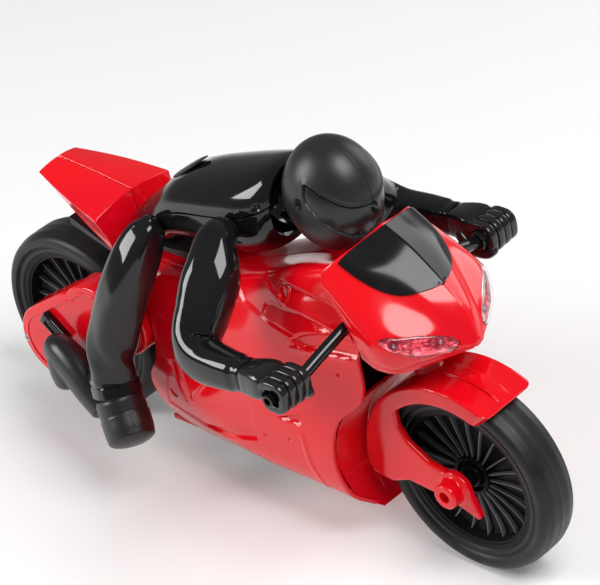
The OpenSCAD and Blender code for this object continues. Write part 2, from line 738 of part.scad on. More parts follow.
module steering_motor() {
  color(steel) on_steering_axis() translate([-steer_mesh, 0, 48.6]) difference() {
    union() {
      cylinder(d = 12, h = 13.6);
      cylinder(d = 5, h = 15);
    }
    translate([0, 0, 1.5]) cylinder(d = shaft_d + 2 * fit, h = 20);
  }
}

module steering_pinion() {
  color("#c8a048") on_steering_axis() translate([-steer_mesh, 0, 0]) {
    translate([0, 0, sector_a - 0.4]) linear_extrude(sector_w + 0.8)
      gear_outline(steer_pinion_teeth, steer_module, 180 / steer_pinion_teeth);
    translate([0, 0, 50.4]) cylinder(d = shaft_d, h = sector_a + sector_w - 49.4);
  }
}

// Steel pin fixed in both fork bosses; the front wheel turns on it
module front_axle() {
  color(steel) pin_y(front_x, front_r, -pin_half, pin_half, axle_d);
}

// ---------- rider ----------

// Handlebar tube from beside the cowl, out and slightly down through the fist
module handlebar() {
  difference() {
    union() {
      pin_y(bar_at.x, bar_at.y, -51, -71, bar_d);
      limb([for (p = [[73.3, -26.6, 113], [72.9, -33, 111], [72.4, -42, 108.2],
                      [72, -50.4, 105.6], [72, -52, 105.5]])
            [p.x, p.y, p.z, bar_d / 2, bar_d / 2]], 3, 16);
    }
    pin_y(bar_at.x, bar_at.y, -66, -72, bar_d - 2.4);
  }
}

module handlebar_right() {
  color(gloss) handlebar();
}

module handlebar_left() {
  color(gloss) mirror([0, 1, 0]) handlebar();
}

// Torso sections from hips to neck: [x, top, bottom, half width]
torso_rows = [[-58, 112, 101.5, 8], [-50, 120, 101.5, 12.5], [-40, 128.5, 103, 15],
  [-28, 138, 108, 17], [-16, 144, 111, 18.5], [0, 150, 113.5, 20], [14, 155, 115.5, 20.5],
  [24.5, 158.5, 120.5, 18.5], [30, 159.2, 127, 15]];

// Part of the torso's skin between two angles, measured from the bike's right over the top
function torso_net(a0, a1, steps) =
  [for (s = smooth(torso_rows, 2)) let (mid = (s[1] + s[2]) / 2, high = (s[1] - s[2]) / 2)
    [for (k = [0 : steps], a = [a0 + (a1 - a0) * k / steps])
      [s[0], -s[3] * cos(a), mid + high * sin(a)]]];

module torso_back() {
  color(gloss) panel(torso_net(9, 171, 14), 1.8);
}

module torso_front() {
  color(gloss) panel(torso_net(173.5, 366.5, 14), 1.8);
}

// Oval cap over the screw in the small of the back
module back_cap() {
  color(matte) translate([-27, 0, 138.2]) rotate([0, -36, 0]) hull() for (s = [-1, 1])
    translate([s * 7, 0, 0]) cylinder(r1 = 5.6, r2 = 4.8, h = 1.4);
}

// Shell of one half of the helmet. Rows run from a small hole behind the visor back to the neck
// opening, which reaches lower than it is high; columns run from the top down the right side.
module helmet_half() {
  function neck_edge(a) = 143 + 19 * cos(a);
  panel([for (i = [0 : 14]) [for (j = [0 : 16], a = [j * 180 / 16],
                                  t = [2 + i * (neck_edge(a) - 2) / 14])
    helmet_at + [helmet_half_l * cos(t), -helmet_half_w * sin(t) * sin(a),
                 helmet_r * sin(t) * cos(a)]]], 2);
}

module helmet_right() {
  color(matte) helmet_half();
}

module helmet_left() {
  color(matte) mirror([0, 1, 0]) helmet_half();
}

// Curved visor standing just proud of the helmet's front
module visor() {
  function shell_at(turn, tilt) = helmet_at + [(helmet_half_l + 1) * cos(turn) * cos(tilt),
    -(helmet_half_w + 1) * sin(turn), (helmet_r + 1) * cos(turn) * sin(tilt)];
  color(matte) panel([for (i = [0 : 6]) [for (j = [0 : 16])
    shell_at(58 - j * 116 / 16, 16 - i * 32 / 6)]], 0.9);
}

module neck() {
  color(gloss) limb([[30.2, 0, 142.4, 14.4, 13.4], [31.4, 0, 144.6, 9, 10.2], [34, 0, 146.4, 7.8, 9.2],
                     [39, 0, 148, 7.2, 8.6]], 2, 20);
}

module arm() {
  limb([[11.8, -21.7, 134.8, 5, 5.8], [13.2, -29.8, 131.8, 8.4, 9], [16.8, -38.5, 123, 11.2, 11.2],
        [18.2, -47.2, 112.6, 10.4, 10.4], [20, -54.8, 104.6, 9.2, 9.2], [27.5, -58.3, 101.6, 8.4, 8.6],
        [40, -60.4, 102.8, 7.4, 7.6], [54, -61, 104.7, 6.2, 6.6]], 3, 16);
}

module arm_right() {
  color(gloss) arm();
}

module arm_left() {
  color(gloss) mirror([0, 1, 0]) arm();
}

// Fist closed round the bar: back of the hand, four fingers and the thumb
module hand() {
  difference() {
    union() {
      for (k = [0 : 3]) pin_y(bar_at.x, bar_at.y, -fist_y + 8 - k * finger_pitch,
                              -fist_y + 4.3 - k * finger_pitch, 15 - abs(k - 1.3) * 0.6);
      pin_y(bar_at.x, bar_at.y, -fist_y + 7.9, -fist_y - 7.6, 13);
      translate([55, -fist_y - 6, bar_at.y - 6]) cube([14, 12.6, 12.4]);
      pin_y(bar_at.x - 5, bar_at.y - 4.5, -fist_y + 8, -fist_y - 3, 6);
    }
    pin_y(bar_at.x, bar_at.y, -40, -80, bar_d);
  }
}

module hand_right() {
  color(matte) hand();
}

module hand_left() {
  color(matte) mirror([0, 1, 0]) hand();
}

module thigh() {
  limb([[-34.4, -19, 122.5, 2.8, 3.8], [-35, -21.4, 118.5, 6.4, 6.8], [-37.6, -27, 109, 8.6, 9],
        [-43.2, -33.6, 92, 9.2, 9.6], [-49.6, -38.4, 70, 9.4, 9.6], [-51, -40.6, 55, 9.4, 9.6],
        [-48.6, -42.2, 47.2, 9.8, 9.8]], 3, 16);
}

module thigh_right() {
  color(gloss) thigh();
}

module thigh_left() {
  color(gloss) mirror([0, 1, 0]) thigh();
}

// Knee slider: a short round-ended cup under the end of the thigh
module knee() {
  limb([[-48.1, -42.7, 45.8, 9.8, 9.8], [-44.4, -44.4, 39.8, 10, 10],
        [-40.6, -46.6, 35, 10, 10], [-37.4, -48.6, 31.2, 8.6, 8.6],
        [-36.2, -49.4, 29.8, 4.8, 4.8]], 2, 20);
}

module knee_right() {
  color(matte) knee();
}

module knee_left() {
  color(matte) mirror([0, 1, 0]) knee();
}

// Shin and boot in one moulding, from behind the knee to the toe on the foot peg
module shin() {
  limb([[-58.6, -40.9, 34.8, 6.8, 6.6], [-68, -39, 40.6, 7.6, 7.6], [-77, -37.8, 46.6, 7, 7.8],
        [-85.2, -36.6, 50, 6.4, 7.6], [-91, -35.6, 50, 5.4, 6.6],
        [-93.7, -35.2, 49.4, 3.2, 4.2]], 2, 16);
  limb([[-86.5, -37, 48, 6, 6.4], [-84.6, -37.6, 42.5, 6, 7.6], [-82.8, -38, 37.8, 5.6, 7.2],
        [-82.3, -38.2, 34.6, 3.2, 4.4]], 2, 16);
}

module shin_right() {
  color(matte) shin();
}

module shin_left() {
  color(matte) mirror([0, 1, 0]) shin();
}

// Foot pegs: the right one on the gearbox, the left one on the swingarm
module foot_pegs() {
  color(gloss) {
    for (y = [gearbox_out - peg.y, -gearbox_out])
      translate([peg_at.x, y, peg_at.y]) rotate([0, peg_slope, 0]) cube(peg);
    // The swingarm is narrower than the gearbox, so its peg stands on a post
    pin_y(-97, 51, 18.5, -gearbox_out + 0.5, 5);
  }
}

// Screws of the gearbox cover, the belly and the battery door
module cover_screws() {
  color(steel) {
    for (at = cover_screw_places) translate([at.x, gearbox_out + 0.1, at.y])
      rotate([90, 0, 0]) screw(3.5, 1.5, 4);
    for (x = belly_screws) translate([x, 0, belly_z + 0.2]) rotate([180, 0, 0]) screw(4.6, 2, 2.6);
    translate([door_at.x + 2.5, 0, belly_z + 0.2]) rotate([180, 0, 0]) screw(4.2, 1.9, 5);
  }
}

fairing_right();
fairing_left();
belly_pan();
wheel_arch();
nose_cowl();
windscreen();
headlight_lens_right();
headlight_lens_left();
headlight_reflector_right();
headlight_reflector_left();
headlight_leds();
tail_cowl_right();
tail_cowl_left();
seat_base();
chassis_frame();
battery_pack();
battery_door();
circuit_board();
power_switch();
drive_motor();
motor_pinion();
first_gear();
second_gear();
gear_shafts();
wheel_gear();
gearbox_plate();
gearbox_cover();
swingarm_left();
rear_axle();
rear_rim();
rear_tyre();
front_fork();
steering_stem();
steering_sector();
steering_motor();
steering_pinion();
front_axle();
front_rim();
front_tyre();
handlebar_right();
handlebar_left();
torso_back();
torso_front();
back_cap();
helmet_right();
helmet_left();
visor();
neck();
arm_right();
arm_left();
hand_right();
hand_left();
thigh_right();
thigh_left();
knee_right();
knee_left();
shin_right();
shin_left();
foot_pegs();
cover_screws();
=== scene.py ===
import bpy
import bmesh
import math
import numpy as np
from mathutils import Vector, Matrix
from mathutils.bvhtree import BVHTree


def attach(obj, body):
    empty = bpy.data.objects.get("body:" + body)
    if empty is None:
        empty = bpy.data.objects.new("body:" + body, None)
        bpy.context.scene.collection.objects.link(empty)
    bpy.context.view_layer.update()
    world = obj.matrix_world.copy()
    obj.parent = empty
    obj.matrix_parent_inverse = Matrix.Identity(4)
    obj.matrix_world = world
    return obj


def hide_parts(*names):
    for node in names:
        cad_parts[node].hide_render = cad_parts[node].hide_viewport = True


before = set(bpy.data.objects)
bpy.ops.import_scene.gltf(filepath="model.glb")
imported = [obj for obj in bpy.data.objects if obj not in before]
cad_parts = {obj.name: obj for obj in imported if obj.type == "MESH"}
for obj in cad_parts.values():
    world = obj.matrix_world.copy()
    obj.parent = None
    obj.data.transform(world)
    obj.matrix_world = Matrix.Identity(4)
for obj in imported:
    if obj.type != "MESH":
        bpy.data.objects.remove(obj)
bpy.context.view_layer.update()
MM = 0.001
scene = bpy.context.scene

# ---------------------------------------------------------------- camera
AZ, EL, ROLL = math.radians(47.37), math.radians(33.28), math.radians(-9.82)
back = Vector((math.sin(AZ) * math.cos(EL), -math.cos(AZ) * math.cos(EL), math.sin(EL)))
right = Vector((0, 0, 1)).cross(back).normalized()
up = back.cross(right)
cam_x = math.cos(ROLL) * right + math.sin(ROLL) * up
cam_y = -math.sin(ROLL) * right + math.cos(ROLL) * up
cam_data = bpy.data.cameras.new("camera")
cam_data.sensor_width = 36
cam_data.lens = 210
cam_data.clip_end = 20
cam = bpy.data.objects.new("camera", cam_data)
scene.collection.objects.link(cam)
cam.matrix_world = Matrix.Translation((0.86296, -0.77335, 0.84492)) @ Matrix(
    (cam_x, cam_y, back)).transposed().to_4x4()
scene.camera = cam


# ---------------------------------------------------------------- materials
class Graph:
    """Small helper that adds shader nodes and joins them."""

    def __init__(self, name):
        self.mat = bpy.data.materials.new(name)
        self.mat.use_nodes = True
        self.tree = self.mat.node_tree
        self.tree.nodes.clear()
        out = self.add("ShaderNodeOutputMaterial")
        self.bsdf = self.add("ShaderNodeBsdfPrincipled")
        self.join(self.bsdf.outputs[0], out.inputs[0])
        self.coord = self.add("ShaderNodeTexCoord").outputs["Object"]

    def add(self, kind, **values):
        node = self.tree.nodes.new(kind)
        for key, value in values.items():
            setattr(node, key, value)
        return node

    def constant(self, **values):
        """Numbers and colours that are the same all over, such as Coat_Weight=0.1."""
        for key, value in values.items():
            self.bsdf.inputs[key.replace("_", " ")].default_value = value

    def join(self, a, b):
        self.tree.links.new(a, b)

    def noise(self, scale, detail=4, stretch=None, rough=0.5):
        node = self.add("ShaderNodeTexNoise")
        node.inputs["Scale"].default_value = scale
        node.inputs["Detail"].default_value = detail
        node.inputs["Roughness"].default_value = rough
        source = self.coord
        if stretch:
            m = self.add("ShaderNodeMapping")
            m.inputs["Scale"].default_value = stretch
            m.inputs["Rotation"].default_value = (0.3, 0.5, 0.7)
            self.join(self.coord, m.inputs["Vector"])
            source = m.outputs[0]
        self.join(source, node.inputs["Vector"])
        return node.outputs[0]

    def ramp(self, source, lo, hi, a=0.0, b=1.0):
        node = self.add("ShaderNodeMapRange")
        node.inputs["From Min"].default_value = lo
        node.inputs["From Max"].default_value = hi
        node.inputs["To Min"].default_value = a
        node.inputs["To Max"].default_value = b
        self.join(source, node.inputs["Value"])
        return node.outputs[0]

    def math(self, op, a, b):
        node = self.add("ShaderNodeMath", operation=op)
        for k, v in enumerate((a, b)):
            if isinstance(v, (int, float)):
                node.inputs[k].default_value = v
            else:
                self.join(v, node.inputs[k])
        return node.outputs[0]

    def mix(self, factor, a, b):
        node = self.add("ShaderNodeMix", data_type="RGBA")
        self.join(factor, node.inputs[0])
        for k, v in ((6, a), (7, b)):
            if hasattr(v, "links"):
                self.join(v, node.inputs[k])
            else:
                node.inputs[k].default_value = (*v, 1)
        return node.outputs[2]

    def bump(self, layers):
        """Bump layers: (height socket, strength, distance in metres)."""
        last = None
        for height, strength, distance in layers:
            node = self.add("ShaderNodeBump")
            node.inputs["Strength"].default_value = strength
            node.inputs["Distance"].default_value = distance
            self.join(height, node.inputs["Height"])
            if last is not None:
                self.join(last, node.inputs["Normal"])
            last = node.outputs[0]
        self.join(last, self.bsdf.inputs["Normal"])


def plastic(name, color, worn, rough, spread, grain=0.0, grain_scale=1800, wave=0.04, coat=0.0,
            specular=0.5, dust=0.0):
    """Moulded surface: colour drift, handling haze, hairline scratches, flow waves, grain, dust."""
    scratches = 0.5
    g = Graph(name)
    drift = g.ramp(g.noise(26, 5), 0.38, 0.66)
    tone = g.mix(drift, color, worn)
    haze = g.ramp(g.noise(60, 6, rough=0.62), 0.42, 0.75)
    hair = g.ramp(g.noise(240, 2, (9, 0.35, 1.2)), 0.68, 0.74)
    hair2 = g.ramp(g.noise(260, 2, (0.3, 8, 1.5)), 0.69, 0.75)
    hairs = g.math("MULTIPLY", g.math("MAXIMUM", hair, hair2), scratches)
    if dust:
        geometry = g.add("ShaderNodeNewGeometry")
        split = g.add("ShaderNodeSeparateXYZ")
        g.join(geometry.outputs["Normal"], split.inputs[0])
        upward = g.ramp(split.outputs[2], 0.35, 1.0)
        specks = g.ramp(g.noise(900, 3), 0.55, 0.75)
        lying = g.math("MULTIPLY", g.math("MULTIPLY", upward, specks), dust)
        tone = g.mix(lying, tone, (0.5, 0.48, 0.46))
    g.join(tone, g.bsdf.inputs["Base Color"])
    r = g.math("ADD", g.math("MULTIPLY", haze, spread), rough)
    r = g.math("ADD", r, g.math("MULTIPLY", hairs, 0.16))
    g.join(r, g.bsdf.inputs["Roughness"])
    g.constant(Specular_IOR_Level=specular)
    if coat:
        g.constant(Coat_Weight=coat, Coat_Roughness=max(rough * 0.6, 0.03))
    layers = [(g.noise(42, 2), wave, 0.002), (hairs, 0.06, 0.00003)]
    if grain:
        layers.append((g.noise(grain_scale, 3), grain, 0.00018))
    g.bump(layers)
    return g.mat


def rubber():
    """Dull tyre rubber with bloom, scuffs and grain."""
    g = Graph("tyre rubber")
    tone = g.mix(g.ramp(g.noise(45, 6, rough=0.65), 0.35, 0.7), (0.007, 0.0072, 0.008),
                 (0.013, 0.013, 0.014))
    bloom = g.ramp(g.noise(150, 5), 0.5, 0.8)
    tone = g.mix(g.math("MULTIPLY", bloom, 0.18), tone, (0.06, 0.059, 0.057))
    g.join(tone, g.bsdf.inputs["Base Color"])
    g.join(g.ramp(g.noise(80, 5), 0.3, 0.7, 0.34, 0.5), g.bsdf.inputs["Roughness"])
    g.constant(Specular_IOR_Level=0.32)
    scuff = g.noise(420, 5, (1, 0.25, 1))
    g.bump([(g.noise(2200, 3), 0.35, 0.0002), (scuff, 0.18, 0.0003)])
    return g.mat


def clear_lens():
    """Clear moulded plastic."""
    g = Graph("clear lens")
    g.join(g.ramp(g.noise(300, 4), 0.4, 0.8, 0.015, 0.07), g.bsdf.inputs["Roughness"])
    g.join(g.mix(g.ramp(g.noise(40, 3), 0.4, 0.6), (1.0, 0.97, 0.97), (0.97, 0.93, 0.93)),
           g.bsdf.inputs["Base Color"])
    g.constant(Transmission_Weight=1.0, IOR=1.46)
    g.bump([(g.noise(160, 2), 0.05, 0.0005)])
    return g.mat


def lamp_red():
    """Faceted reflector: red plastic with pressed cells in the bump, and bright pink cell centres in the
    colour as a painted highlight.
    """
    g = Graph("lamp reflector red")
    cells = g.add("ShaderNodeTexVoronoi")
    cells.inputs["Scale"].default_value = 330
    g.join(g.coord, cells.inputs["Vector"])
    # Painted highlight: the cell centres are coloured bright pink to stand in for glints off the facets.
    painted_glint = g.ramp(cells.outputs["Distance"], 0.15, 0.6)
    g.join(g.mix(painted_glint, (0.85, 0.10, 0.16), (0.55, 0.005, 0.03)), g.bsdf.inputs["Base Color"])
    g.join(g.ramp(g.noise(200, 3), 0.3, 0.7, 0.08, 0.22), g.bsdf.inputs["Roughness"])
    g.constant(Metallic=0.45)
    g.bump([(cells.outputs["Distance"], 0.6, 0.0006), (g.noise(900, 2), 0.1, 0.0001)])
    return g.mat


def metal(name, color, rough):
    """Bare metal with fine brush marks."""
    g = Graph(name)
    g.join(g.mix(g.ramp(g.noise(90, 5), 0.35, 0.7), color, tuple(c * 0.8 for c in color)),
           g.bsdf.inputs["Base Color"])
    brush = g.noise(500, 4, (1, 12, 1))
    g.join(g.ramp(brush, 0.3, 0.7, rough, rough + 0.2), g.bsdf.inputs["Roughness"])
    g.constant(Metallic=1.0)
    g.bump([(brush, 0.15, 0.0001)])
    return g.mat


MAT = {
    "red": plastic("red gloss plastic", (0.78, 0.003, 0.008), (0.70, 0.001, 0.012), 0.11, 0.09,
                   wave=0.03, coat=0.1, specular=0.42, dust=0.008),
    # Darker copy of the red gloss for inner parts: the rough grain is the plastic's own, the darker colour is
    # painted shade.
    "red_in_shaded": plastic("red plastic inside with painted shade", (0.55, 0.003, 0.006), (0.46, 0.002, 0.005), 0.34, 0.14,
                      grain=0.12, dust=0.05),
    "black": plastic("black gloss plastic", (0.004, 0.004, 0.005), (0.008, 0.008, 0.009), 0.06, 0.06,
                     wave=0.025, specular=0.45, dust=0.004),
    "black2": plastic("black gloss plastic screen", (0.004, 0.004, 0.005), (0.009, 0.009, 0.01),
                      0.13, 0.05, wave=0.015, specular=0.32, dust=0.004),
    "matte": plastic("black matte plastic", (0.012, 0.012, 0.013), (0.02, 0.02, 0.022), 0.40, 0.12,
                     grain=0.3, grain_scale=2600, specular=0.4, dust=0.015),
    "helmet": plastic("helmet soft black", (0.010, 0.010, 0.012), (0.016, 0.016, 0.018), 0.36, 0.08,
                      grain=0.15, grain_scale=3000, specular=0.45, dust=0.01),
    "boot": plastic("boot satin black", (0.008, 0.008, 0.009), (0.014, 0.014, 0.015), 0.30, 0.12,
                    grain=0.15, grain_scale=2400, specular=0.45, dust=0.015),
    "rim": plastic("wheel satin black", (0.004, 0.004, 0.005), (0.007, 0.007, 0.008), 0.34, 0.12,
                   grain=0.1, specular=0.12),
    # Grey for the thin ribs of the black wheel: painted highlight standing in for light on their edges.
    "rib": plastic("wheel rib edge", (0.10, 0.10, 0.105), (0.15, 0.15, 0.155), 0.32, 0.15, grain=0.2),
    # Near-black red that the cut walls of pockets and bores take on: painted shade in the recesses.
    "hole": plastic("recess with painted shade", (0.03, 0.0015, 0.002), (0.05, 0.002, 0.003), 0.5, 0.2, grain=0.2),
    "visor": plastic("visor satin black", (0.007, 0.007, 0.008), (0.012, 0.012, 0.013), 0.24, 0.08,
                     grain=0.05, grain_scale=3000, dust=0.008),
    "glove": plastic("glove gloss black", (0.007, 0.007, 0.008), (0.010, 0.010, 0.011), 0.15, 0.10,
                     wave=0.04, coat=0.15, dust=0.008),
    "knee": plastic("knee satin black", (0.009, 0.009, 0.010), (0.015, 0.015, 0.016), 0.32, 0.12,
                    grain=0.2, grain_scale=2400, dust=0.012),
    "rubber": rubber(),
    "lens": clear_lens(),
    "lamp": lamp_red(),
    "steel": metal("steel", (0.55, 0.56, 0.58), 0.22),
    "chrome": metal("bright trim", (0.85, 0.83, 0.84), 0.08),
    "brass": metal("brass", (0.72, 0.52, 0.2), 0.25),
    "nylon": plastic("gear nylon", (0.80, 0.77, 0.68), (0.72, 0.68, 0.58), 0.38, 0.12, grain=0.15),
    "green": plastic("circuit board", (0.015, 0.14, 0.05), (0.01, 0.10, 0.03), 0.25, 0.2, grain=0.2),
    "blue": plastic("battery wrap", (0.02, 0.09, 0.35), (0.015, 0.06, 0.28), 0.2, 0.15),
    "led": plastic("lamp epoxy", (0.85, 0.87, 0.9), (0.75, 0.78, 0.82), 0.08, 0.06),
}


# ---------------------------------------------------------------- geometry helpers (millimetres)
def between(a, b, c, d, t):
    """Point at t from b to c on the smooth curve that also passes a and d."""
    return 0.5 * (2 * b + (c - a) * t + (2 * a - 5 * b + 4 * c - d) * t ** 2
                  + (3 * b - a - 3 * c + d) * t ** 3)


def signed(x, power):
    """Power that keeps the sign, for rounded boxes."""
    return np.sign(x) * np.abs(x) ** power


def around(count):
    """Evenly spaced angles once round."""
    return np.arange(count) * 2 * math.pi / count


def ring_quads(m, n):
    """Faces between m rings of n points each."""
    return [(i * n + j, i * n + (j + 1) % n, (i + 1) * n + (j + 1) % n, (i + 1) * n + j)
            for i in range(m - 1) for j in range(n)]


def spline(points, per):
    """Smooth curve through rows of numbers, with per steps between two of them."""
    p = np.asarray(points, float)
    n = len(p)
    ext = np.concatenate([[2 * p[0] - p[1]], p, [2 * p[-1] - p[-2]]])
    u = np.arange(per * (n - 1) + 1) / per
    i = np.minimum(np.floor(u).astype(int), n - 2)
    t = (u - i).reshape((-1,) + (1,) * (p.ndim - 1))
    return between(ext[i], ext[i + 1], ext[i + 2], ext[i + 3], t)


def net(rows, nu, nv):
    """Smooth grid of points through a coarse one, with nu and nv steps between its points."""
    g = spline(rows, nu)
    return np.swapaxes(spline(np.swapaxes(g, 0, 1), nv), 0, 1)


def normals(g, wrap_v=False):
    """Unit normals of a grid; wrap_v closes it along its second direction."""
    du = np.gradient(g, axis=0)
    if wrap_v:
        dv = (np.roll(g, -1, 1) - np.roll(g, 1, 1)) / 2
    else:
        dv = np.gradient(g, axis=1)
    n = np.cross(du, dv)
    return n / np.maximum(np.linalg.norm(n, axis=2, keepdims=True), 1e-9)


def smooth(x, lo, hi):
    """Soft step from 0 at lo to 1 at hi."""
    t = np.clip((x - lo) / (hi - lo), 0, 1)
    return t * t * (3 - 2 * t)


def seg_dist(q, a, b):
    """Distance from the points q to the segment a to b."""
    a, b = np.asarray(a, float), np.asarray(b, float)
    d = b - a
    t = np.clip(((q - a) @ d) / max(d @ d, 1e-9), 0, 1)
    return np.linalg.norm(q - a - t[..., None] * d, axis=-1)


def line_dist(q, line):
    """Distance from the points q to a run of segments."""
    return np.min([seg_dist(q, a, b) for a, b in zip(line[:-1], line[1:])], axis=0)


def inside_dist(q, poly):
    """Distance to a closed outline, positive inside it."""
    d = line_dist(q, list(poly) + [poly[0]])
    x, y = q[..., 0], q[..., 1]
    odd = np.zeros(x.shape, bool)
    for (x0, y0), (x1, y1) in zip(poly, list(poly[1:]) + [poly[0]]):
        if y0 == y1:
            continue
        cross = (y0 > y) != (y1 > y)
        odd ^= cross & (x < (x1 - x0) * (y - y0) / (y1 - y0) + x0)
    return np.where(odd, d, -d)


def groove(q, line, half, depth):
    """Channel along a line."""
    return -depth * np.exp(-(line_dist(q, line) / half) ** 2)


def patch(q, poly, height, soft):
    """Raised or sunk area inside an outline, with soft edges."""
    return height * smooth(inside_dist(q, poly), -soft, soft)


def ledge(q, upper, lower, height, soft=0.8):
    """Facet that sinks from nothing at the lower line to its full height at the upper one."""
    a, b = line_dist(q, lower), line_dist(q, upper)
    edge = smooth(inside_dist(q, list(upper) + list(lower[::-1])), -soft, soft)
    return height * edge * a / np.maximum(a + b, 1e-6)


def disc(q, centre, r, height, soft):
    """Raised or sunk round area, with a soft edge."""
    return height * smooth(r - np.linalg.norm(q - np.asarray(centre, float), axis=-1), -soft, soft)


def mesh_object(name, verts, faces, mat, angle=35):
    """Object from points in millimetres; edges above the angle stay sharp."""
    me = bpy.data.meshes.new(name)
    me.from_pydata([tuple(v) for v in np.asarray(verts, float) * MM], [], faces)
    me.validate()
    bm = bmesh.new()
    bm.from_mesh(me)
    bmesh.ops.recalc_face_normals(bm, faces=bm.faces)
    bm.to_mesh(me)
    bm.free()
    for p in me.polygons:
        p.use_smooth = True
    me.set_sharp_from_angle(angle=math.radians(angle))
    ob = bpy.data.objects.new(name, me)
    scene.collection.objects.link(ob)
    me.materials.append(MAT[mat])
    return ob


def shell(name, g, t, mat, lift=None, lip=0.5):
    """Panel of thickness t with rounded rims. lift moves points along the outward normal."""
    n = normals(g)
    out = g.copy() if lift is None else g + lift[..., None] * n
    inn = g - t * n
    n = normals(out)
    rows, cols = g.shape[:2]
    lip = min(lip, t * 0.6)
    faces = []

    def quads(base, flip):
        for i in range(rows - 1):
            for j in range(cols - 1):
                f = (base + i * cols + j, base + (i + 1) * cols + j, base + (i + 1) * cols + j + 1,
                     base + i * cols + j + 1)
                faces.append(f[::-1] if flip else f)

    # Rim loops: where the outside turns over to the inside
    loop = ([(0, j) for j in range(cols)] + [(i, cols - 1) for i in range(1, rows)]
            + [(rows - 1, j) for j in range(cols - 2, -1, -1)] + [(i, 0) for i in range(rows - 2, 0, -1)])
    li, lj = np.array(loop).T
    p, m = out[li, lj], n[li, lj]
    edge = p - out[np.clip(li, 1, rows - 2), np.clip(lj, 1, cols - 2)]
    edge -= (edge * m).sum(-1, keepdims=True) * m
    edge /= np.maximum(np.linalg.norm(edge, axis=-1, keepdims=True), 1e-9)
    outer = out.copy()
    outer[li, lj] = p - lip * edge
    verts = [*outer.reshape(-1, 3), *inn.reshape(-1, 3)]
    quads(0, False)
    quads(rows * cols, True)
    first, count = len(verts), len(loop)
    verts += [*(p - 0.29 * lip * edge - 0.29 * lip * m), *(p - lip * m)]
    chain = [[i * cols + j for i, j in loop], [first + j for j in range(count)],
             [first + count + j for j in range(count)], [rows * cols + i * cols + j for i, j in loop]]
    for near, far in zip(chain[:-1], chain[1:]):
        for j in range(count):
            k = (j + 1) % count
            faces.append((near[j], near[k], far[k], far[j]))
    return mesh_object(name, verts, faces, mat)


def tangents(path):
    """Unit directions along a path."""
    t = np.gradient(path, axis=0)
    return t / np.maximum(np.linalg.norm(t, axis=1, keepdims=True), 1e-9)


def limb_rings(path, per, sides, power=2.0, ends=(0.0, 0.0)):
    """Rings round a smooth path of [x, y, z, across, up]; ends rounds each end off over that length."""
    p = spline(path, per)
    xyz, rx, rz = p[:, :3], p[:, 3], p[:, 4]
    along = tangents(xyz)
    side = np.cross(along, np.tile([0.2, 0, 1.0], (len(p), 1)))
    side /= np.linalg.norm(side, axis=1, keepdims=True)
    upv = np.cross(side, along)
    a = around(sides)
    ca, sa = signed(np.cos(a), 2 / power), signed(np.sin(a), 2 / power)
    g = (xyz[:, None] + side[:, None] * (rx[:, None] * ca)[..., None]
         + upv[:, None] * (rz[:, None] * sa)[..., None])
    steps = [0.05, 0.2, 0.4, 0.62, 0.82]
    parts = [g]
    for k, e in enumerate(ends):
        if e <= 0:
            continue
        ring, centre, d = (g[0], xyz[0], -along[0]) if k == 0 else (g[-1], xyz[-1], along[-1])
        extra = [centre + d * e * math.sin(s * math.pi / 2) + (ring - centre) * math.cos(s * math.pi / 2)
                 for s in (steps if k else steps[::-1])]
        parts = [np.array(extra), *parts] if k == 0 else [*parts, np.array(extra)]
    return np.concatenate(parts)


def tube(name, g, mat, lift=None, angle=40):
    """Closed solid through rings."""
    if lift is not None:
        g = g + lift[..., None] * normals(g, True)
    m, n = g.shape[:2]
    verts = [*g.reshape(-1, 3), g[0].mean(0), g[-1].mean(0)]
    faces = ring_quads(m, n)
    faces += [(m * n, (j + 1) % n, j) for j in range(n)]
    faces += [(m * n + 1, (m - 1) * n + j, (m - 1) * n + (j + 1) % n) for j in range(n)]
    return mesh_object(name, verts, faces, mat, angle)


def lathe_y(name, profile, centre, mat, steps, angle=30):
    """Turned body about the Y axis: closed profile of (radius, y)."""
    a = around(steps)
    pr = np.array(profile, float)
    r, y = pr[:, 0][:, None], np.repeat(pr[:, 1][:, None], steps, 1)
    g = np.stack([centre[0] + r * np.cos(a), centre[1] + y, centre[2] + r * np.sin(a)], -1)
    m, n = g.shape[:2]
    faces = [(i * n + j, i * n + (j + 1) % n, ((i + 1) % m) * n + (j + 1) % n, ((i + 1) % m) * n + j)
             for i in range(m) for j in range(n)]
    return mesh_object(name, list(g.reshape(-1, 3)), faces, mat, angle)


def plate_y(name, outline, y0, y1, mat, bevel=0.6, segments=3, angle=35):
    """Flat moulding in the X-Z plane between two Y values, with rounded edges."""
    n = len(outline)
    verts = [(x, y0, z) for x, z in outline] + [(x, y1, z) for x, z in outline]
    faces = [tuple(range(n)), tuple(range(2 * n - 1, n - 1, -1))]
    faces += [(i, n + i, n + (i + 1) % n, (i + 1) % n) for i in range(n)]
    ob = mesh_object(name, verts, faces, mat, angle)
    soften(ob, bevel, segments)
    return ob


def soften(ob, width, segments=3, angle=32):
    """Rounded edges; a width of 0 leaves the object as it is."""
    if width <= 0:
        return
    m = ob.modifiers.new("edge", "BEVEL")
    m.width = width * MM
    m.segments = segments
    m.limit_method = "ANGLE"
    m.angle_limit = math.radians(angle)
    apply_all(ob)


def apply_all(ob):
    """Turn the object's modifiers into its mesh."""
    dg = bpy.context.evaluated_depsgraph_get()
    dg.update()
    me = bpy.data.meshes.new_from_object(ob.evaluated_get(dg))
    old = ob.data
    ob.modifiers.clear()
    ob.data = me
    bpy.data.meshes.remove(old)
    for p in me.polygons:
        p.use_smooth = True
    me.set_sharp_from_angle(angle=math.radians(35))


def cut(ob, cutter):
    """Take the cutter away from the object, and remove the cutter."""
    bpy.context.view_layer.update()
    m = ob.modifiers.new("cut", "BOOLEAN")
    m.object = cutter
    m.operation = "DIFFERENCE"
    m.solver = "EXACT"
    apply_all(ob)
    bpy.data.objects.remove(cutter)


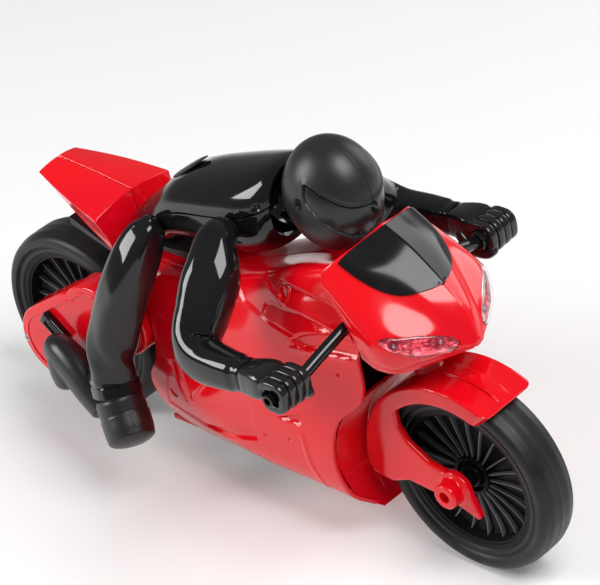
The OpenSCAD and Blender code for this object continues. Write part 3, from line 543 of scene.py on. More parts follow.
def join(name, parts):
    """One object from several, each keeping its own material."""
    bm = bmesh.new()
    mats = []
    for ob in parts:
        first = len(bm.faces)
        bm.from_mesh(ob.data)
        bm.faces.ensure_lookup_table()
        slots = []
        for m in ob.data.materials:
            if m not in mats:
                mats.append(m)
            slots.append(mats.index(m))
        for f in bm.faces[first:]:
            f.material_index = slots[f.material_index] if slots else 0
    me = bpy.data.meshes.new(name)
    bm.to_mesh(me)
    bm.free()
    for m in mats:
        me.materials.append(m)
    for ob in parts:
        bpy.data.objects.remove(ob)
    ob = bpy.data.objects.new(name, me)
    scene.collection.objects.link(ob)
    me.set_sharp_from_angle(angle=math.radians(35))
    return ob


def rod(name, a, b, r, mat, r2=None, sides=32, rim=0.25):
    """Round bar from a to b with softened ends."""
    a, b = np.array(a, float), np.array(b, float)
    d = b - a
    length = np.linalg.norm(d)
    d = d / length
    ref = np.array([0, 0, 1.0]) if abs(d[2]) < 0.9 else np.array([1.0, 0, 0])
    u = np.cross(d, ref)
    u /= np.linalg.norm(u)
    v = np.cross(d, u)
    r2 = r if r2 is None else r2
    rim = min(rim, r * 0.5, length * 0.3)
    ang = around(sides)
    circle = np.cos(ang)[:, None] * u + np.sin(ang)[:, None] * v
    stations = [(0, r - rim), (rim * 0.3, r - rim * 0.3), (rim, r), (length - rim, r2),
                (length - rim * 0.3, r2 - rim * 0.3), (length, r2 - rim)]
    g = np.array([a + d * s + circle * q for s, q in stations])
    return tube(name, g, mat, angle=50)


def mirrored(ob, name):
    """Mirror image over the middle plane."""
    me = ob.data.copy()
    me.transform(Matrix.Diagonal((1, -1, 1, 1)))
    me.flip_normals()
    new = bpy.data.objects.new(name, me)
    scene.collection.objects.link(new)
    return new


def put(ob, body, node):
    """Fasten the piece to its body and hide the node that it stands for."""
    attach(ob, body)
    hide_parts(node)


def pair(ob, node):
    """The bike's piece on the right for one node, and its mirror image on the left."""
    other = mirrored(ob, ob.name.replace("right", "left"))
    put(ob, "bike", node)
    put(other, "bike", node.replace("right", "left"))


rear_at, front_at = (-104.5, 42.0), (105.5, 41.0)  # wheel centres (x, z)

# ---------------------------------------------------------------- fairing
fairing_rows = np.array([
    [[-57, 0, 97], [-34, 0, 97], [-10, 0, 101], [14, 0, 110], [40, 0, 120], [68, 0, 125]],
    [[-57, -12, 96], [-34, -13, 96], [-10, -14, 100], [14, -16, 109], [41, -17, 123], [68, -18, 133]],
    [[-56, -18, 90], [-34, -19, 91], [-10, -21, 94], [16, -23, 99], [43, -24, 114], [70, -23, 119]],
    [[-46, -21, 80], [-28, -23, 81], [-8, -26, 84], [18, -28, 88], [46, -28, 97], [76, -26, 99]],
    [[-42.5, -23, 68], [-26, -26, 69], [-6, -28, 72], [18, -30, 76], [45, -30, 81], [76, -27, 80]],
    [[-42.5, -24, 56], [-26, -27, 57], [-6, -29, 59], [16, -31, 61], [38, -31, 63], [62, -29, 64]],
    [[-49, -23, 44], [-30, -26, 43], [-8, -28, 43], [14, -29, 44], [36, -29, 44], [56.7, -28.5, 44]],
    [[-50, -20, 32], [-30, -22, 29], [-8, -24, 28], [14, -25, 27], [36, -25, 27], [59, -25, 26.5]],
    [[-48, -15, 20], [-30, -15.3, 17], [-8, -15.5, 16.5], [14, -15.5, 16.5], [38, -15.5, 16.5],
     [62.5, -15.5, 17]]], float)
g = net(fairing_rows, 34, 56)
q = g[..., [0, 2]]
side = smooth(np.abs(g[..., 1]), 13.5, 16.5)
lift = side * (
    ledge(q, [(22.9, 113.6), (36.9, 117.8), (47.7, 118.6), (59.4, 118), (78, 115.5)],
          [(37, 111.5), (48.4, 110.7), (57, 109.4), (66, 108.1), (78, 107)], -1.6)
    + ledge(q, [(27.6, 106), (30.8, 107.8), (37.2, 108.4), (48.4, 109.5), (57, 108.3), (64.9, 106.6)],
            [(26.4, 101.4), (37.6, 100.9), (46.8, 99.5), (56, 104), (64.9, 106.4)], -1.3)
    + patch(q, [(44, 97.6), (50, 101), (57, 103.6), (66, 105.6), (76, 104.5), (76, 99), (58, 96.6),
                (50, 95.4)], -1.5, 1.1)
    - groove(q, [(43, 93.4), (50.6, 95), (58, 96), (72, 97)], 1.1, 0.5)
    + disc(q, (37.6, 113.8), 4.0, 0.5, 0.35)
    + patch(q, [(3, 90), (5.5, 100), (9, 104.5), (14, 101.6), (26.2, 100.8), (46, 98.6), (31.7, 86),
                (27, 80.6), (4, 79)], 0.6, 0.7)
    + patch(q, [(-31, 60), (17.4, 60.5), (14.8, 46.7), (14.3, 38.3), (-9, 28.2), (-44, 30)], -0.65, 0.5)
    + patch(q, [(-24, 28), (10.8, 40.2), (13.8, 37.9), (-9.5, 29.2)], -1.0, 0.45)
    + patch(q, [(31.7, 58), (44.1, 63.2), (42.9, 57.6)], -1.5, 0.45)
    - groove(q, [(42.4, 52), (42.3, 38.3), (46, 26)], 1.2, 0.45)
    - groove(q, [(-32, 59), (-27.5, 40)], 0.7, 0.6) - groove(q, [(-27, 61), (-22, 43)], 0.7, 0.6)
    - groove(q, [(-9.5, 58.6), (-27.6, 38)], 0.7, 0.6)
    + disc(q, (65.9, 88.7), 0.8, -0.7, 0.25) + disc(q, (34.6, 47.1), 0.8, -0.7, 0.25)
    + disc(q, (20.1, 43.6), 0.7, -0.6, 0.25)
    + groove(q, [(-57, 76), (-44, 76), (-6, 77.5), (16, 78.6)], 0.45, 0.35))
fairing = shell("fairing_shell_right", g, 1.6, "red", lift, lip=0.6)
for x, z, r in ((37.6, 113.8, 2.5), (-35.5, 40.5, 2.4)):
    k = np.unravel_index(np.argmin(np.hypot(q[..., 0] - x, q[..., 1] - z) + 50 * (side < 0.5)), q.shape[:2])
    p, n = g[k], normals(g)[k]
    # The pocket's walls take the cutter's near-black finish: painted shade.
    cut(fairing, rod("tool", p + 4 * n, p - 1.3 * n, r, "hole"))
pair(fairing, "fairing_right")

# Wall behind the front wheel
arch_sides = np.array([[12.8, 15.5], [22, 25.5], [26.2, 42], [26.6, 62], [23.6, 80]])
a = np.radians(np.linspace(211.3, 134.8, 70))
zs = front_at[1] + 49 * np.sin(a)
side_gap = 0.25
half = np.interp(zs, arch_sides[:, 1], arch_sides[:, 0]) - side_gap
v = np.linspace(-1, 1, 61)
g = np.stack([front_at[0] + 49.1 * np.cos(a)[:, None] + 0 * v, half[:, None] * v, zs[:, None] + 0 * v], -1)
q = g[..., [1, 2]]
arch_lift = (groove(q, [(-9, 20), (-9, 78)], 0.5, 0.35) + groove(q, [(9, 20), (9, 78)], 0.5, 0.35)
             - groove(q, [(-40, 33), (40, 33)], 0.9, 0.3))
arch = shell("arch_wall", g, -1.2, "red", arch_lift, lip=0.3)
put(arch, "bike", "wheel_arch")

# ---------------------------------------------------------------- nose cowl, screen and lamps
cowl_rows = np.array([
    [[73, 0, 144], [87, 0, 137], [99.7, 0, 127.3], [107.5, 0, 120], [112, 0, 114], [115.4, 0, 106.5]],
    [[71, -11, 141.2], [86, -10, 134.4], [98, -8, 125.9], [106.5, -5.5, 118.4], [111.6, -3, 113],
     [115.4, -0.9, 106]],
    [[67.5, -21.2, 138], [81.5, -19.5, 131.5], [95, -16, 122.8], [105, -11, 116], [111, -6, 111],
     [115.3, -1.8, 105.5]],
    [[63, -26.5, 131], [79, -28, 125], [94, -27, 117.5], [104, -19, 113], [110.5, -10, 109],
     [115.2, -2.5, 105]],
    [[70, -28, 122], [82, -31, 116.5], [93.5, -31, 112.5], [103.5, -22.5, 109], [110.2, -12, 107],
     [115.1, -2.8, 104.4]],
    [[78, -29, 112], [87, -31, 107.5], [95, -29.5, 105.5], [103, -22, 104.5], [109.8, -11.5, 104],
     [115, -2.4, 103.8]],
    [[81, -28.5, 102], [89, -28.5, 99.5], [97, -25.5, 99], [103, -18, 100], [109, -9.5, 101.5],
     [114.6, -1.8, 103]]], float)
NU, NV = 20, 26
half_net = net(cowl_rows, NU, NV)
half_norm = normals(half_net)


def on_cowl(u, v, h=0.0):
    """Point over the right half of the cowl at row u and column v of its control net."""
    uu = np.clip(np.asarray(u, float) * NU, 0, half_net.shape[0] - 1.001)
    vv = np.clip(np.asarray(v, float) * NV, 0, half_net.shape[1] - 1.001)
    i, j = uu.astype(int), vv.astype(int)
    s, t = (uu - i)[..., None], (vv - j)[..., None]
    out = []
    for grid in (half_net, half_norm):
        out.append(grid[i, j] * (1 - s) * (1 - t) + grid[i + 1, j] * s * (1 - t)
                   + grid[i, j + 1] * (1 - s) * t + grid[i + 1, j + 1] * s * t)
    return out[0] + np.asarray(h)[..., None] * out[1]


def nearest_uv(p):
    """Row and column of the cowl's control net nearest to a point."""
    d = np.linalg.norm(half_net - np.asarray(p, float), axis=2)
    i, j = np.unravel_index(np.argmin(d), d.shape)
    return i / NU, j / NV


def closed_spline(points, steps):
    """Smooth closed curve through the points."""
    p = np.asarray(points, float)
    n = len(p)
    u = np.arange(steps) * n / steps
    i = np.floor(u).astype(int)
    t = (u - i)[:, None]
    return between(p[(i - 1) % n], p[i % n], p[(i + 1) % n], p[(i + 2) % n], t)


full = np.concatenate([(half_net * [1, -1, 1])[:0:-1], half_net])
lift = groove(full[..., [0, 2]], [(80.4, 104.5), (96.6, 101.4), (114, 104.2)], 0.6, 0.35)
cowl = shell("cowl_shell", full, 1.6, "red", lift, lip=0.7)

lamp_points = [(92.6, -30.3, 115.0), (95.4, -28.6, 117.0), (99.7, -24.6, 115.9), (104.6, -17.2, 114.3),
               (109.0, -10.2, 111.2), (111.4, -7.4, 109.2), (112.2, -7.0, 107.2), (111.2, -9.4, 105.6),
               (109.0, -14.8, 105.4), (105.2, -21.4, 106.8), (100.6, -27.0, 109.6), (95.4, -30.6, 113.0)]
lamp_uv = closed_spline([nearest_uv(p) for p in lamp_points], 120)
lamp_mid = lamp_uv.mean(0)


def lamp_ring(s, h):
    """The lamp's outline scaled by s about its middle, h above the cowl."""
    uv = lamp_mid + s * (lamp_uv - lamp_mid)
    return on_cowl(uv[:, 0], uv[:, 1], np.full(len(uv), h))


tool = tube("tool", np.array([lamp_ring(1.0, h) for h in (-4.0, -2.0, 0.0, 2.0)]), "red")
tool2 = mirrored(tool, "tool2")
cut(cowl, tool)
cut(cowl, tool2)
# Blunt tip that closes the front of the cowl
tip_path = [[109.5, 0, 105.2, 2.6, 1.8], [112.6, 0, 105.0, 3.1, 2.0], [114.9, 0, 104.8, 2.4, 1.7]]
tip = tube("tip", limb_rings(tip_path, 6, 36, 2.3, ends=(1.0, 0.6)), "red")
cowl = join("cowl_shell", [cowl, tip])
put(cowl, "bike", "nose_cowl")

s_out = np.r_[np.linspace(0.04, 0.84, 14), 0.88, 0.91, 0.94, 0.965, 0.985]
h_out = np.r_[np.full(14, 0.55), 0.52, 0.36, 0.33, 0.30, 0.12]
rings = [lamp_ring(s, h) for s, h in zip(s_out, h_out)]
rings += [lamp_ring(s, h) for s, h in zip(s_out[::-1], (h_out - 0.85)[::-1])]
lens = tube("lens_right", np.array(rings), "lens", angle=60)
pair(lens, "headlight_lens_right")

# Reflector: a stepped bowl with pressed flutes and two bright cups
ss = np.linspace(0.03, 0.985, 46)
ang = around(120)
rings = []
for s in ss:
    uv = lamp_mid + s * (lamp_uv - lamp_mid)
    steps_h = 0.22 * np.abs(((s * 7 + 0.12 * np.sin(ang * 2)) % 1) - 0.5) * 2
    flute = 0.16 * np.abs(np.sin(ang * 14)) * smooth(s, 0.25, 0.5)
    h = -0.5 - 1.7 * (1 - s ** 2.2) - steps_h - flute
    rings.append(on_cowl(uv[:, 0], uv[:, 1], h))
back_rings = [lamp_ring(s, -2.9) for s in (0.985, 0.5, 0.05)]
bowl = tube("reflector_bowl", np.array(rings + back_rings), "lamp", angle=25)
cups = [bowl]
for s, k in ((0.62, 0), (0.5, 52)):
    c_uv = lamp_mid + s * (lamp_uv[k] - lamp_mid)
    c = on_cowl(c_uv[0], c_uv[1], -2.3)
    n = on_cowl(c_uv[0], c_uv[1], 0.0) - c
    n /= np.linalg.norm(n)
    cups.append(rod("cup", c, c + n * 1.1, 1.6, "lamp", r2=2.2))
    cups.append(rod("bulb", c + n * 0.8, c + n * 1.4, 0.7, "chrome"))
pair(join("lamp_right", cups), "headlight_reflector_right")

# Screen: a pointed roof of black plastic on the cowl
base = [Vector(p) for p in full.reshape(-1, 3)]
w = full.shape[1]
tris = [(i * w + j, (i + 1) * w + j, (i + 1) * w + j + 1, i * w + j + 1)
        for i in range(full.shape[0] - 1) for j in range(w - 1)]
bvh = BVHTree.FromPolygons(base, tris)
nt, na = 70, 81
aa = np.linspace(-1, 1, na)
g = np.zeros((na, nt, 3))
for k, t in enumerate(np.linspace(0, 1, nt)):
    width = 21.0 * (1 - min(t, 0.9995) ** 2.7) ** 0.74 + 0.25
    for i, s in enumerate(aa):
        y = -s * width
        x0 = 74.4 - 5.2 * abs(s * width) / 21.2
        x1 = 101.3 - 0.6 * abs(s)
        x = x0 + t * (x1 - x0)
        hit = bvh.ray_cast(Vector((x, -y, 200)), Vector((0, 0, -1)))
        g[i, k] = (x, -y, hit[0].z if hit[0] else 140)
g = g[::-1] if np.cross(g[1, 0] - g[0, 0], g[0, 1] - g[0, 0])[2] < 0 else g
screen = shell("screen", g + normals(g), 0.95, "black2", lip=0.35)
put(screen, "bike", "windscreen")

# ---------------------------------------------------------------- tail
def tail_ring(s):
    """Cross-section of the right half between the rear end (0) and the sloping front face (1)."""
    crown = math.sin(math.pi * s)
    wide = 10.8 + 11.1 * s + 0.9 * crown
    ztop, zedge = 119.1 - 3.1 * s + 0.5 * crown, 116.8 - 4.3 * s + 0.4 * crown
    ylow, zlow = 9.6 + 8.6 * s + 0.6 * crown, 113.6 - 17.0 * s ** 1.05
    pts = []
    for k in range(11):
        f = k / 10
        z = ztop + (zedge - ztop) * f ** 1.6
        xr = -107.2 - 1.3 * f
        xf = -65.5 - 0.3 * f
        pts.append((xr + (xf - xr) * s, -0.07 - (wide - 0.07) * f, z))
    for k in range(1, 7):
        f = k / 6
        z = zedge + (zlow - zedge) * f
        xr = -108.5 + 1.6 * f
        xf = -65.8 + 4.6 * min(f * 1.5, 1) - 3.4 * max(f - 0.66, 0)
        pts.append((xr + (xf - xr) * s, -(wide + (ylow - wide) * f), z))
    for k in range(1, 7):
        f = k / 6
        xr, xf = -106.9 + 0.4 * f, -62.3
        pts.append((xr + (xf - xr) * s, -(ylow * (1 - f) + 0.07), zlow - 0.3 * f))
    return pts


g = np.array([tail_ring(s) for s in np.linspace(0, 1, 30)])
m, n = g.shape[:2]
half_gap = 0.16
verts = [(x, min(y, -half_gap), z) for x, y, z in g.reshape(-1, 3)]
faces = ring_quads(m, n) + [tuple(range(n)), tuple((m - 1) * n + j for j in range(n))]
tail = mesh_object("tail_right", verts, faces, "red", 30)
soften(tail, 0.9, 4, 28)
# Step pressed into the front face
c = np.array([[-62.9, -3.4, 112.6], [-63.2, -16.5, 109.9], [-59.2, -16.0, 106.6], [-58.6, -3.4, 108.6]])
d = np.array([1.0, -0.15, 0.35])
d /= np.linalg.norm(d)
cut(tail, tube("tool", np.array([c - d, c + d * 6.0]), "red"))
pair(tail, "tail_cowl_right")

# ---------------------------------------------------------------- rider: torso, cap and neck
torso_rows = np.array([[-58, 112, 101.5, 8], [-50, 120, 101.5, 12.5], [-40, 128.5, 103, 15],
                       [-28, 138, 108, 17], [-16, 144, 111, 18.5], [0, 150, 113.5, 20],
                       [14, 155, 115.5, 20.5], [24.5, 158.5, 120.5, 18.5], [30, 159.2, 127, 15]], float)


def torso_net(a0, a1):
    """Skin of the torso from one angle to another, as seen from behind; right side is 0."""
    cols, power = 91, 2.25
    s = spline(torso_rows, 9)
    a = np.radians(np.linspace(a0, a1, cols))
    ca, sa = signed(np.cos(a), 2 / power), signed(np.sin(a), 2 / power)
    mid, high = (s[:, 1] + s[:, 2]) / 2, (s[:, 1] - s[:, 2]) / 2
    return np.stack([np.repeat(s[:, 0][:, None], cols, 1), -s[:, 3][:, None] * ca,
                     mid[:, None] + high[:, None] * sa], -1)


g = torso_net(8.2, 171.8)
back_lift = (disc(g[..., [0, 2]], (25.6, 145.5), 1.35, -1.0, 0.25)
             + disc(g[..., :2], (-26, 0), 8.2, -0.25, 0.4))
put(shell("torso_back_shell", g, 1.8, "black", back_lift, lip=0.15), "bike", "torso_back")
g = torso_net(173.2, 366.8)
front_lift = groove(g[..., [0, 2]], [(-30, 112), (24, 124)], 2.6, 0.35)
put(shell("torso_front_shell", g, 1.8, "black", front_lift, lip=0.15), "bike", "torso_front")

# Oval cap: a low dome with a stepped rim
tilt = math.radians(36)
a = around(72)
rings = []
for s, h in ((1.0, 0.0), (1.0, 0.4), (0.97, 0.6), (0.92, 0.62), (0.88, 0.78), (0.8, 0.95), (0.6, 1.1),
             (0.35, 1.18), (0.1, 1.2)):
    lx, ly = 12.2 * s * np.cos(a), 5.4 * s * np.sin(a) * (1 - 0.12 * np.cos(a) ** 4)
    rings.append(np.stack([-27 + lx * math.cos(tilt) - h * math.sin(tilt), ly,
                           138.1 + lx * math.sin(tilt) + h * math.cos(tilt)], -1))
put(tube("back_cap_dome", np.array(rings), "helmet"), "bike", "back_cap")

neck_path = [[30.2, 0, 142.4, 14.4, 13.4], [31.4, 0, 144.6, 9, 10.2], [34, 0, 146.4, 7.8, 9.2],
             [39, 0, 148, 7.2, 8.6]]
g = limb_rings(neck_path, 8, 64, 2.2)
rib_wave = 0.22 * np.cos(np.linspace(0, 6 * math.pi, g.shape[0]))[:, None] * np.ones(64)
put(tube("neck_collar", g, "black", rib_wave), "bike", "neck")

# ---------------------------------------------------------------- rider: helmet and visor
helmet_c = np.array([50.8, 0, 151.0])
helmet_r = np.array([20.5, 17.8, 23.4])
# The visor's outline on the right half, as (degrees round, degrees up)
brow = [(0, 5.2), (8, 5.5), (20, 7), (30, 9.5), (39, 13.5), (47, 18), (57, 22.5), (67, 28), (75, 30.5),
        (78, 30)]
lower = [(77, 21), (75, 14), (70, 8), (64, 2), (56, -7), (43, -17), (27, -26), (12, -30), (0, -31)]
visor_poly = brow + lower + [(-x, y) for x, y in (brow + lower)[::-1] if x > 0]
hole_at = (84.5, 8.5)
wrap = 1.13  # how far round the shell the visor's drawing is stretched
visor_gap = 0.9  # degrees between the visor and its recess


def helmet_angles(p):
    """Degrees round and up of points on the helmet, in the visor's drawing."""
    d = (p - helmet_c) / helmet_r
    d /= np.linalg.norm(d, axis=-1, keepdims=True)
    turn = np.arctan2(-d[..., 1], d[..., 0])
    return np.stack([np.degrees(turn) / wrap, np.degrees(np.arcsin(d[..., 2]))], -1)


def helmet_point(turn, tilt_deg, h=0.0):
    """Point h above the helmet at an angle round and an angle up."""
    t, e = np.radians(np.asarray(turn) * wrap), np.radians(tilt_deg)
    d = np.stack([np.cos(t) * np.cos(e), -np.sin(t) * np.cos(e), np.sin(e)], -1)
    return helmet_c + d * (helmet_r + np.asarray(h)[..., None])


def half_helmet():
    """Right half of the helmet's shell, with the visor's recess, the vent and a lower rim."""
    rows, cols = 130, 121
    a = np.linspace(0, math.pi, cols)
    edge = 143 + 19 * np.cos(a)
    t = np.radians(1.2 + np.linspace(0, 1, rows)[:, None] * (edge - 1.2))
    g = helmet_c + helmet_r * np.stack([np.cos(t) + 0 * a, -np.sin(t) * np.sin(a), np.sin(t) * np.cos(a)], -1)
    g[:, 0, 1] = g[:, -1, 1] = -0.06
    q = helmet_angles(g)
    q[..., 0] = np.abs(q[..., 0])
    inside = inside_dist(q, visor_poly)
    lift = -1.15 * smooth(inside, -0.7, 0.7)
    above = (inside <= 0) * np.exp(-((inside + 2.4) / 2.6) ** 2)
    near_brow = np.exp(-(line_dist(q, brow) / 5.0) ** 2)
    lift += 0.55 * above * near_brow + 0.18 * above * (1 - near_brow)
    hole = np.hypot((q[..., 0] - hole_at[0]) * 0.95 + (q[..., 1] - hole_at[1]) * 0.35,
                    (q[..., 1] - hole_at[1]) * 0.80 - (q[..., 0] - hole_at[0]) * 0.3)
    lift += -1.9 * smooth(5.0 - hole, -0.6, 0.6) + 0.08 * np.exp(-((hole - 6.3) / 1.1) ** 2)
    low_edge = np.linspace(0, 1, rows)[:, None] * np.ones(cols)
    lift += 0.35 * np.exp(-((low_edge - 0.975) / 0.018) ** 2)
    return shell("helmet_shell_right", g, 2.0, "helmet", lift, lip=0.12)


pair(half_helmet(), "helmet_right")

turns = np.linspace(-76.5, 76.5, 121)
tops = np.interp(np.abs(turns), *zip(*brow)) - visor_gap
bottoms = np.interp(np.abs(turns), *zip(*lower[::-1])) + visor_gap
visor_rows = 41
f = np.linspace(0, 1, visor_rows)[:, None]
tilts = tops + (bottoms - tops) * f
tt = np.repeat(turns[None, :], visor_rows, 0)
dome = 0.10 * np.sin(math.pi * f) * np.ones_like(tt)
g = helmet_point(tt[:, ::-1], tilts[:, ::-1], -0.42 + dome)
q = np.stack([tt[:, ::-1], tilts[:, ::-1]], -1)
notch = disc(q, (14, -27), 2.6, -0.45, 0.5) + disc(q, (-14, -27), 2.6, -0.45, 0.5)
if np.dot(normals(g)[20, 60], g[20, 60] - helmet_c) < 0:
    g, notch = g[:, ::-1], notch[:, ::-1]
put(shell("visor_shell", g, 0.62, "visor", notch, lip=0.3), "bike", "visor")

# ---------------------------------------------------------------- rider: arms and fists
arm_path = [[11.8, -21.7, 134.8, 5, 5.8], [13.2, -29.8, 131.8, 8.4, 9], [16.8, -38.5, 123, 11.2, 11.2],
            [18.2, -47.2, 112.6, 10.4, 10.4], [20, -54.8, 104.6, 9.2, 9.2], [27.5, -58.3, 101.6, 8.4, 8.6],
            [40, -60.4, 102.8, 7.4, 7.6], [54, -61, 104.7, 6.2, 6.6]]
per, sides = 12, 72
g = limb_rings(arm_path, per, sides, 2.7, ends=(2.2, 0))
station = (np.arange(g.shape[0]) - 5) / per
st = station[:, None] * np.ones(sides)
inner = g[..., 0] - spline(arm_path, per)[:, 0][np.clip(np.arange(g.shape[0]) - 5, 0, None)][:, None]
inner = smooth(inner / 9.0, 0.05, 0.8)
arm_lift = (-0.9 * np.exp(-((st - 4.15) / 0.075) ** 2) * inner
            + 0.5 * np.exp(-((st - 3.85) / 0.22) ** 2) * inner
            - 0.45 * smooth(st, 6.62, 6.67) + 0.35 * np.exp(-((st - 6.9) / 0.05) ** 2))
pair(tube("arm_shell_right", g, "black", arm_lift, angle=50), "arm_right")

bar = np.array([72.0, 105.5])  # middle of the grip (x, z)
finger_pitch, first_finger, finger_r = 4.0, -54.85, 5.35


def rounded_box_rings(stations, sides=40, power=4.0):
    """Rings across X for a hand-like block: (x, z centre, half height, y centre, half width)."""
    a = around(sides)
    ca, sa = signed(np.cos(a), 2 / power), signed(np.sin(a), 2 / power)
    return np.array([np.stack([np.full(sides, x), yc + hw * ca, zc + hh * sa], -1)
                     for x, zc, hh, yc, hw in stations])


def hand():
    """Fist round the grip: four fingers, palm, thumb and a ring at the inner end."""
    parts = []
    for k in range(4):
        yc = first_finger - finger_pitch * k
        reach = 1.0 - 0.04 * abs(k - 1.2)
        count = 34
        angles = np.radians(np.linspace(165, -140, count))
        ca, sa = signed(np.cos(angles), 0.62), signed(np.sin(angles), 0.62)
        cx, cz = bar[0] + finger_r * reach * ca, bar[1] + finger_r * reach * sa
        tx, tz = np.gradient(cx), np.gradient(cz)
        size = np.hypot(tx, tz)
        nx, nz = tz / -size, tx / size
        b = around(24)
        cb, sb = signed(np.cos(b), 0.5), signed(np.sin(b), 0.5)
        knuckle = 1 + 0.10 * np.exp(-((np.degrees(angles) - 62) / 12) ** 2)
        past = np.maximum(np.arange(count) - 29, 0)  # the fingertip narrows over the last rings
        thick = 1.75 * knuckle * (1 - 0.16 * past)
        rings = [np.stack([cx[i] + nx[i] * thick[i] * sb, yc + 1.9 * cb, cz[i] + nz[i] * thick[i] * sb], -1)
                 for i in range(count)]
        parts.append(tube("finger", np.array(rings), "glove", angle=50))
    wrist = rounded_box_rings([(52.0, 104.4, 4.8, -61, 4.8), (54.0, 104.7, 6.0, -61, 6.0),
                               (56.2, 105.1, 6.2, -61, 6.3), (59.0, 105.6, 6.4, -60.9, 6.9),
                               (62.0, 106.1, 6.3, -60.85, 7.6), (64.6, 106.6, 5.8, -60.85, 7.8),
                               (66.4, 107.1, 4.7, -60.85, 7.5), (67.2, 107.5, 3.2, -60.85, 6.5)])
    parts.append(tube("palm", wrist, "glove", angle=60))
    thumb = [[61, -54.4, 103.8, 2.2, 2.6], [65, -53.6, 101.1, 2.5, 2.6], [70, -53.4, 99.5, 2.4, 2.4],
             [74.8, -53.6, 99.9, 2.2, 2.2], [77.6, -54.2, 102, 1.9, 2.0]]
    parts.append(tube("thumb", limb_rings(thumb, 6, 24, 2.6, ends=(1.6, 1.6)), "glove", angle=50))
    ring = [(2.9, 0), (3.8, -0.2), (4.1, 0.3), (4.1, 1.5), (3.8, 1.9), (2.9, 1.7)]
    parts.append(lathe_y("grip_ring", ring, (bar[0], -52.9, bar[1]), "glove", steps=48))
    return join("hand_mould_right", parts)


pair(hand(), "hand_right")

bar_path = [[73.3, -26.6, 113, 2.5, 2.5], [72.9, -33, 111, 2.5, 2.5], [72.4, -42, 108.2, 2.5, 2.5],
            [72, -51, 105.5, 2.5, 2.5], [72, -60, 105.5, 2.5, 2.5], [72, -70.6, 105.5, 2.5, 2.5]]
g = limb_rings(bar_path, 12, 40)
station = np.arange(g.shape[0]) / 12
seam = (-0.25 * np.exp(-((station - 2.62) / 0.03) ** 2) - 0.2 * np.exp(-((station - 4.92) / 0.02) ** 2))
rings = list(g + seam[:, None, None] * normals(g, True))
c = rings[-1].mean(0)
for s, deep in ((0.93, -0.25), (0.62, -0.25), (0.56, 0.3), (0.54, 3.0), (0.1, 3.3)):
    rings.append(c + (rings[g.shape[0] - 1] - c) * s + np.array([0, deep, 0]))
pair(tube("handlebar_tube_right", np.array(rings), "black", angle=45), "handlebar_right")

# ---------------------------------------------------------------- rider: legs
thigh_path = [[-34.4, -19, 122.5, 2.8, 3.8], [-35, -21.4, 118.5, 6.4, 6.8], [-37.6, -27, 109, 8.6, 9],
              [-43.2, -33.6, 92, 9.2, 9.6], [-49.6, -38.4, 70, 9.4, 9.6], [-51, -40.6, 55, 9.4, 9.6],
              [-48.6, -42.2, 47.2, 9.8, 9.8]]
g = limb_rings(thigh_path, 14, 80, 3.0, ends=(1.2, 0))
station = ((np.arange(g.shape[0]) - 5) / 14)[:, None] * np.ones(80)
thigh_lift = -0.5 * np.exp(-((station - 5.35) / 0.035) ** 2) - 0.12 * smooth(station, 5.35, 5.42)
pair(tube("thigh_shell_right", g, "black", thigh_lift, angle=50), "thigh_right")

knee_path = [[-48.1, -42.7, 45.8, 9.8, 9.8], [-44.4, -44.4, 39.8, 10, 10], [-40.6, -46.6, 35, 10, 10],
             [-38.2, -48.1, 32.2, 9.6, 9.6]]
g = limb_rings(knee_path, 12, 80, 2.2, ends=(0, 3.2))
station = (np.arange(g.shape[0]) / 12)[:, None] * np.ones(80)
knee_lift = (-0.5 * np.exp(-((station - 0.10) / 0.05) ** 2) - 0.45 * np.exp(-((station - 1.05) / 0.04) ** 2)
             + 0.15 * smooth(station, 1.05, 1.12))
pair(tube("knee_cup_right", g, "knee", knee_lift, angle=50), "knee_right")


def fused(name, parts, mat, voxel, rounds, angle=180):
    """One clean skin round several overlapping solids, with softened joins."""
    ob = join(name, parts)
    ob.data.materials.clear()
    ob.data.materials.append(MAT[mat])
    m = ob.modifiers.new("skin", "REMESH")
    m.mode = "VOXEL"
    m.voxel_size = voxel * MM
    m.use_smooth_shade = True
    s = ob.modifiers.new("even", "SMOOTH")
    s.factor = 0.5
    s.iterations = rounds
    apply_all(ob)
    ob.data.set_sharp_from_angle(angle=math.radians(angle))
    return ob


shin_path = [[-58.6, -40.9, 34.8, 6.8, 6.6], [-68, -39, 40.6, 7.6, 7.6], [-77, -37.8, 46.6, 7, 7.8],
             [-85.2, -36.6, 50, 6.4, 7.6], [-91, -35.6, 50, 5.4, 6.6]]
toe_path = [[-86.5, -37, 48, 6, 6.4], [-84.6, -37.6, 42.5, 6, 7.6], [-82.8, -38, 37.8, 5.6, 7.2]]
shin_parts = [tube("shin", limb_rings(shin_path, 8, 40, 2.3, ends=(0, 3)), "boot"),
              tube("lobe", limb_rings(toe_path, 8, 40, 2.2, ends=(2, 3.4)), "boot")]
pair(fused("boot_right", shin_parts, "boot", 0.7, 8), "shin_right")


# Foot pegs: bevelled blocks with a window, turned to lie along the boot
def peg(y0, y1):
    """One peg between two Y values."""
    turn, at = math.radians(-38), (-105.5, 55.2)

    def box(name, u0, w0, u1, w1, ya, yb, bevel, segments):
        """Block between two corners, measured along and up the peg."""
        corners = [(at[0] + u * math.cos(turn) - w * math.sin(turn),
                    at[1] + u * math.sin(turn) + w * math.cos(turn))
                   for u, w in ((u0, w0), (u1, w0), (u1, w1), (u0, w1))]
        return plate_y(name, corners, min(ya, yb), max(ya, yb), "black", bevel, segments)

    block = box("peg", 0, 0, 15, 6.5, y0, y1, 0.8, 4)
    edge, deep = (y0, 0.8) if y0 < 0 else (y1, -0.8)
    cut(block, box("window", 2.6, 1.5, 12.4, 5, edge - deep, edge + deep, 0.3, 2))
    return [block, box("strip", 4.2, 2.6, 10.8, 3.9, edge + deep * 1.1, edge + deep * 0.4, 0.25, 2)]


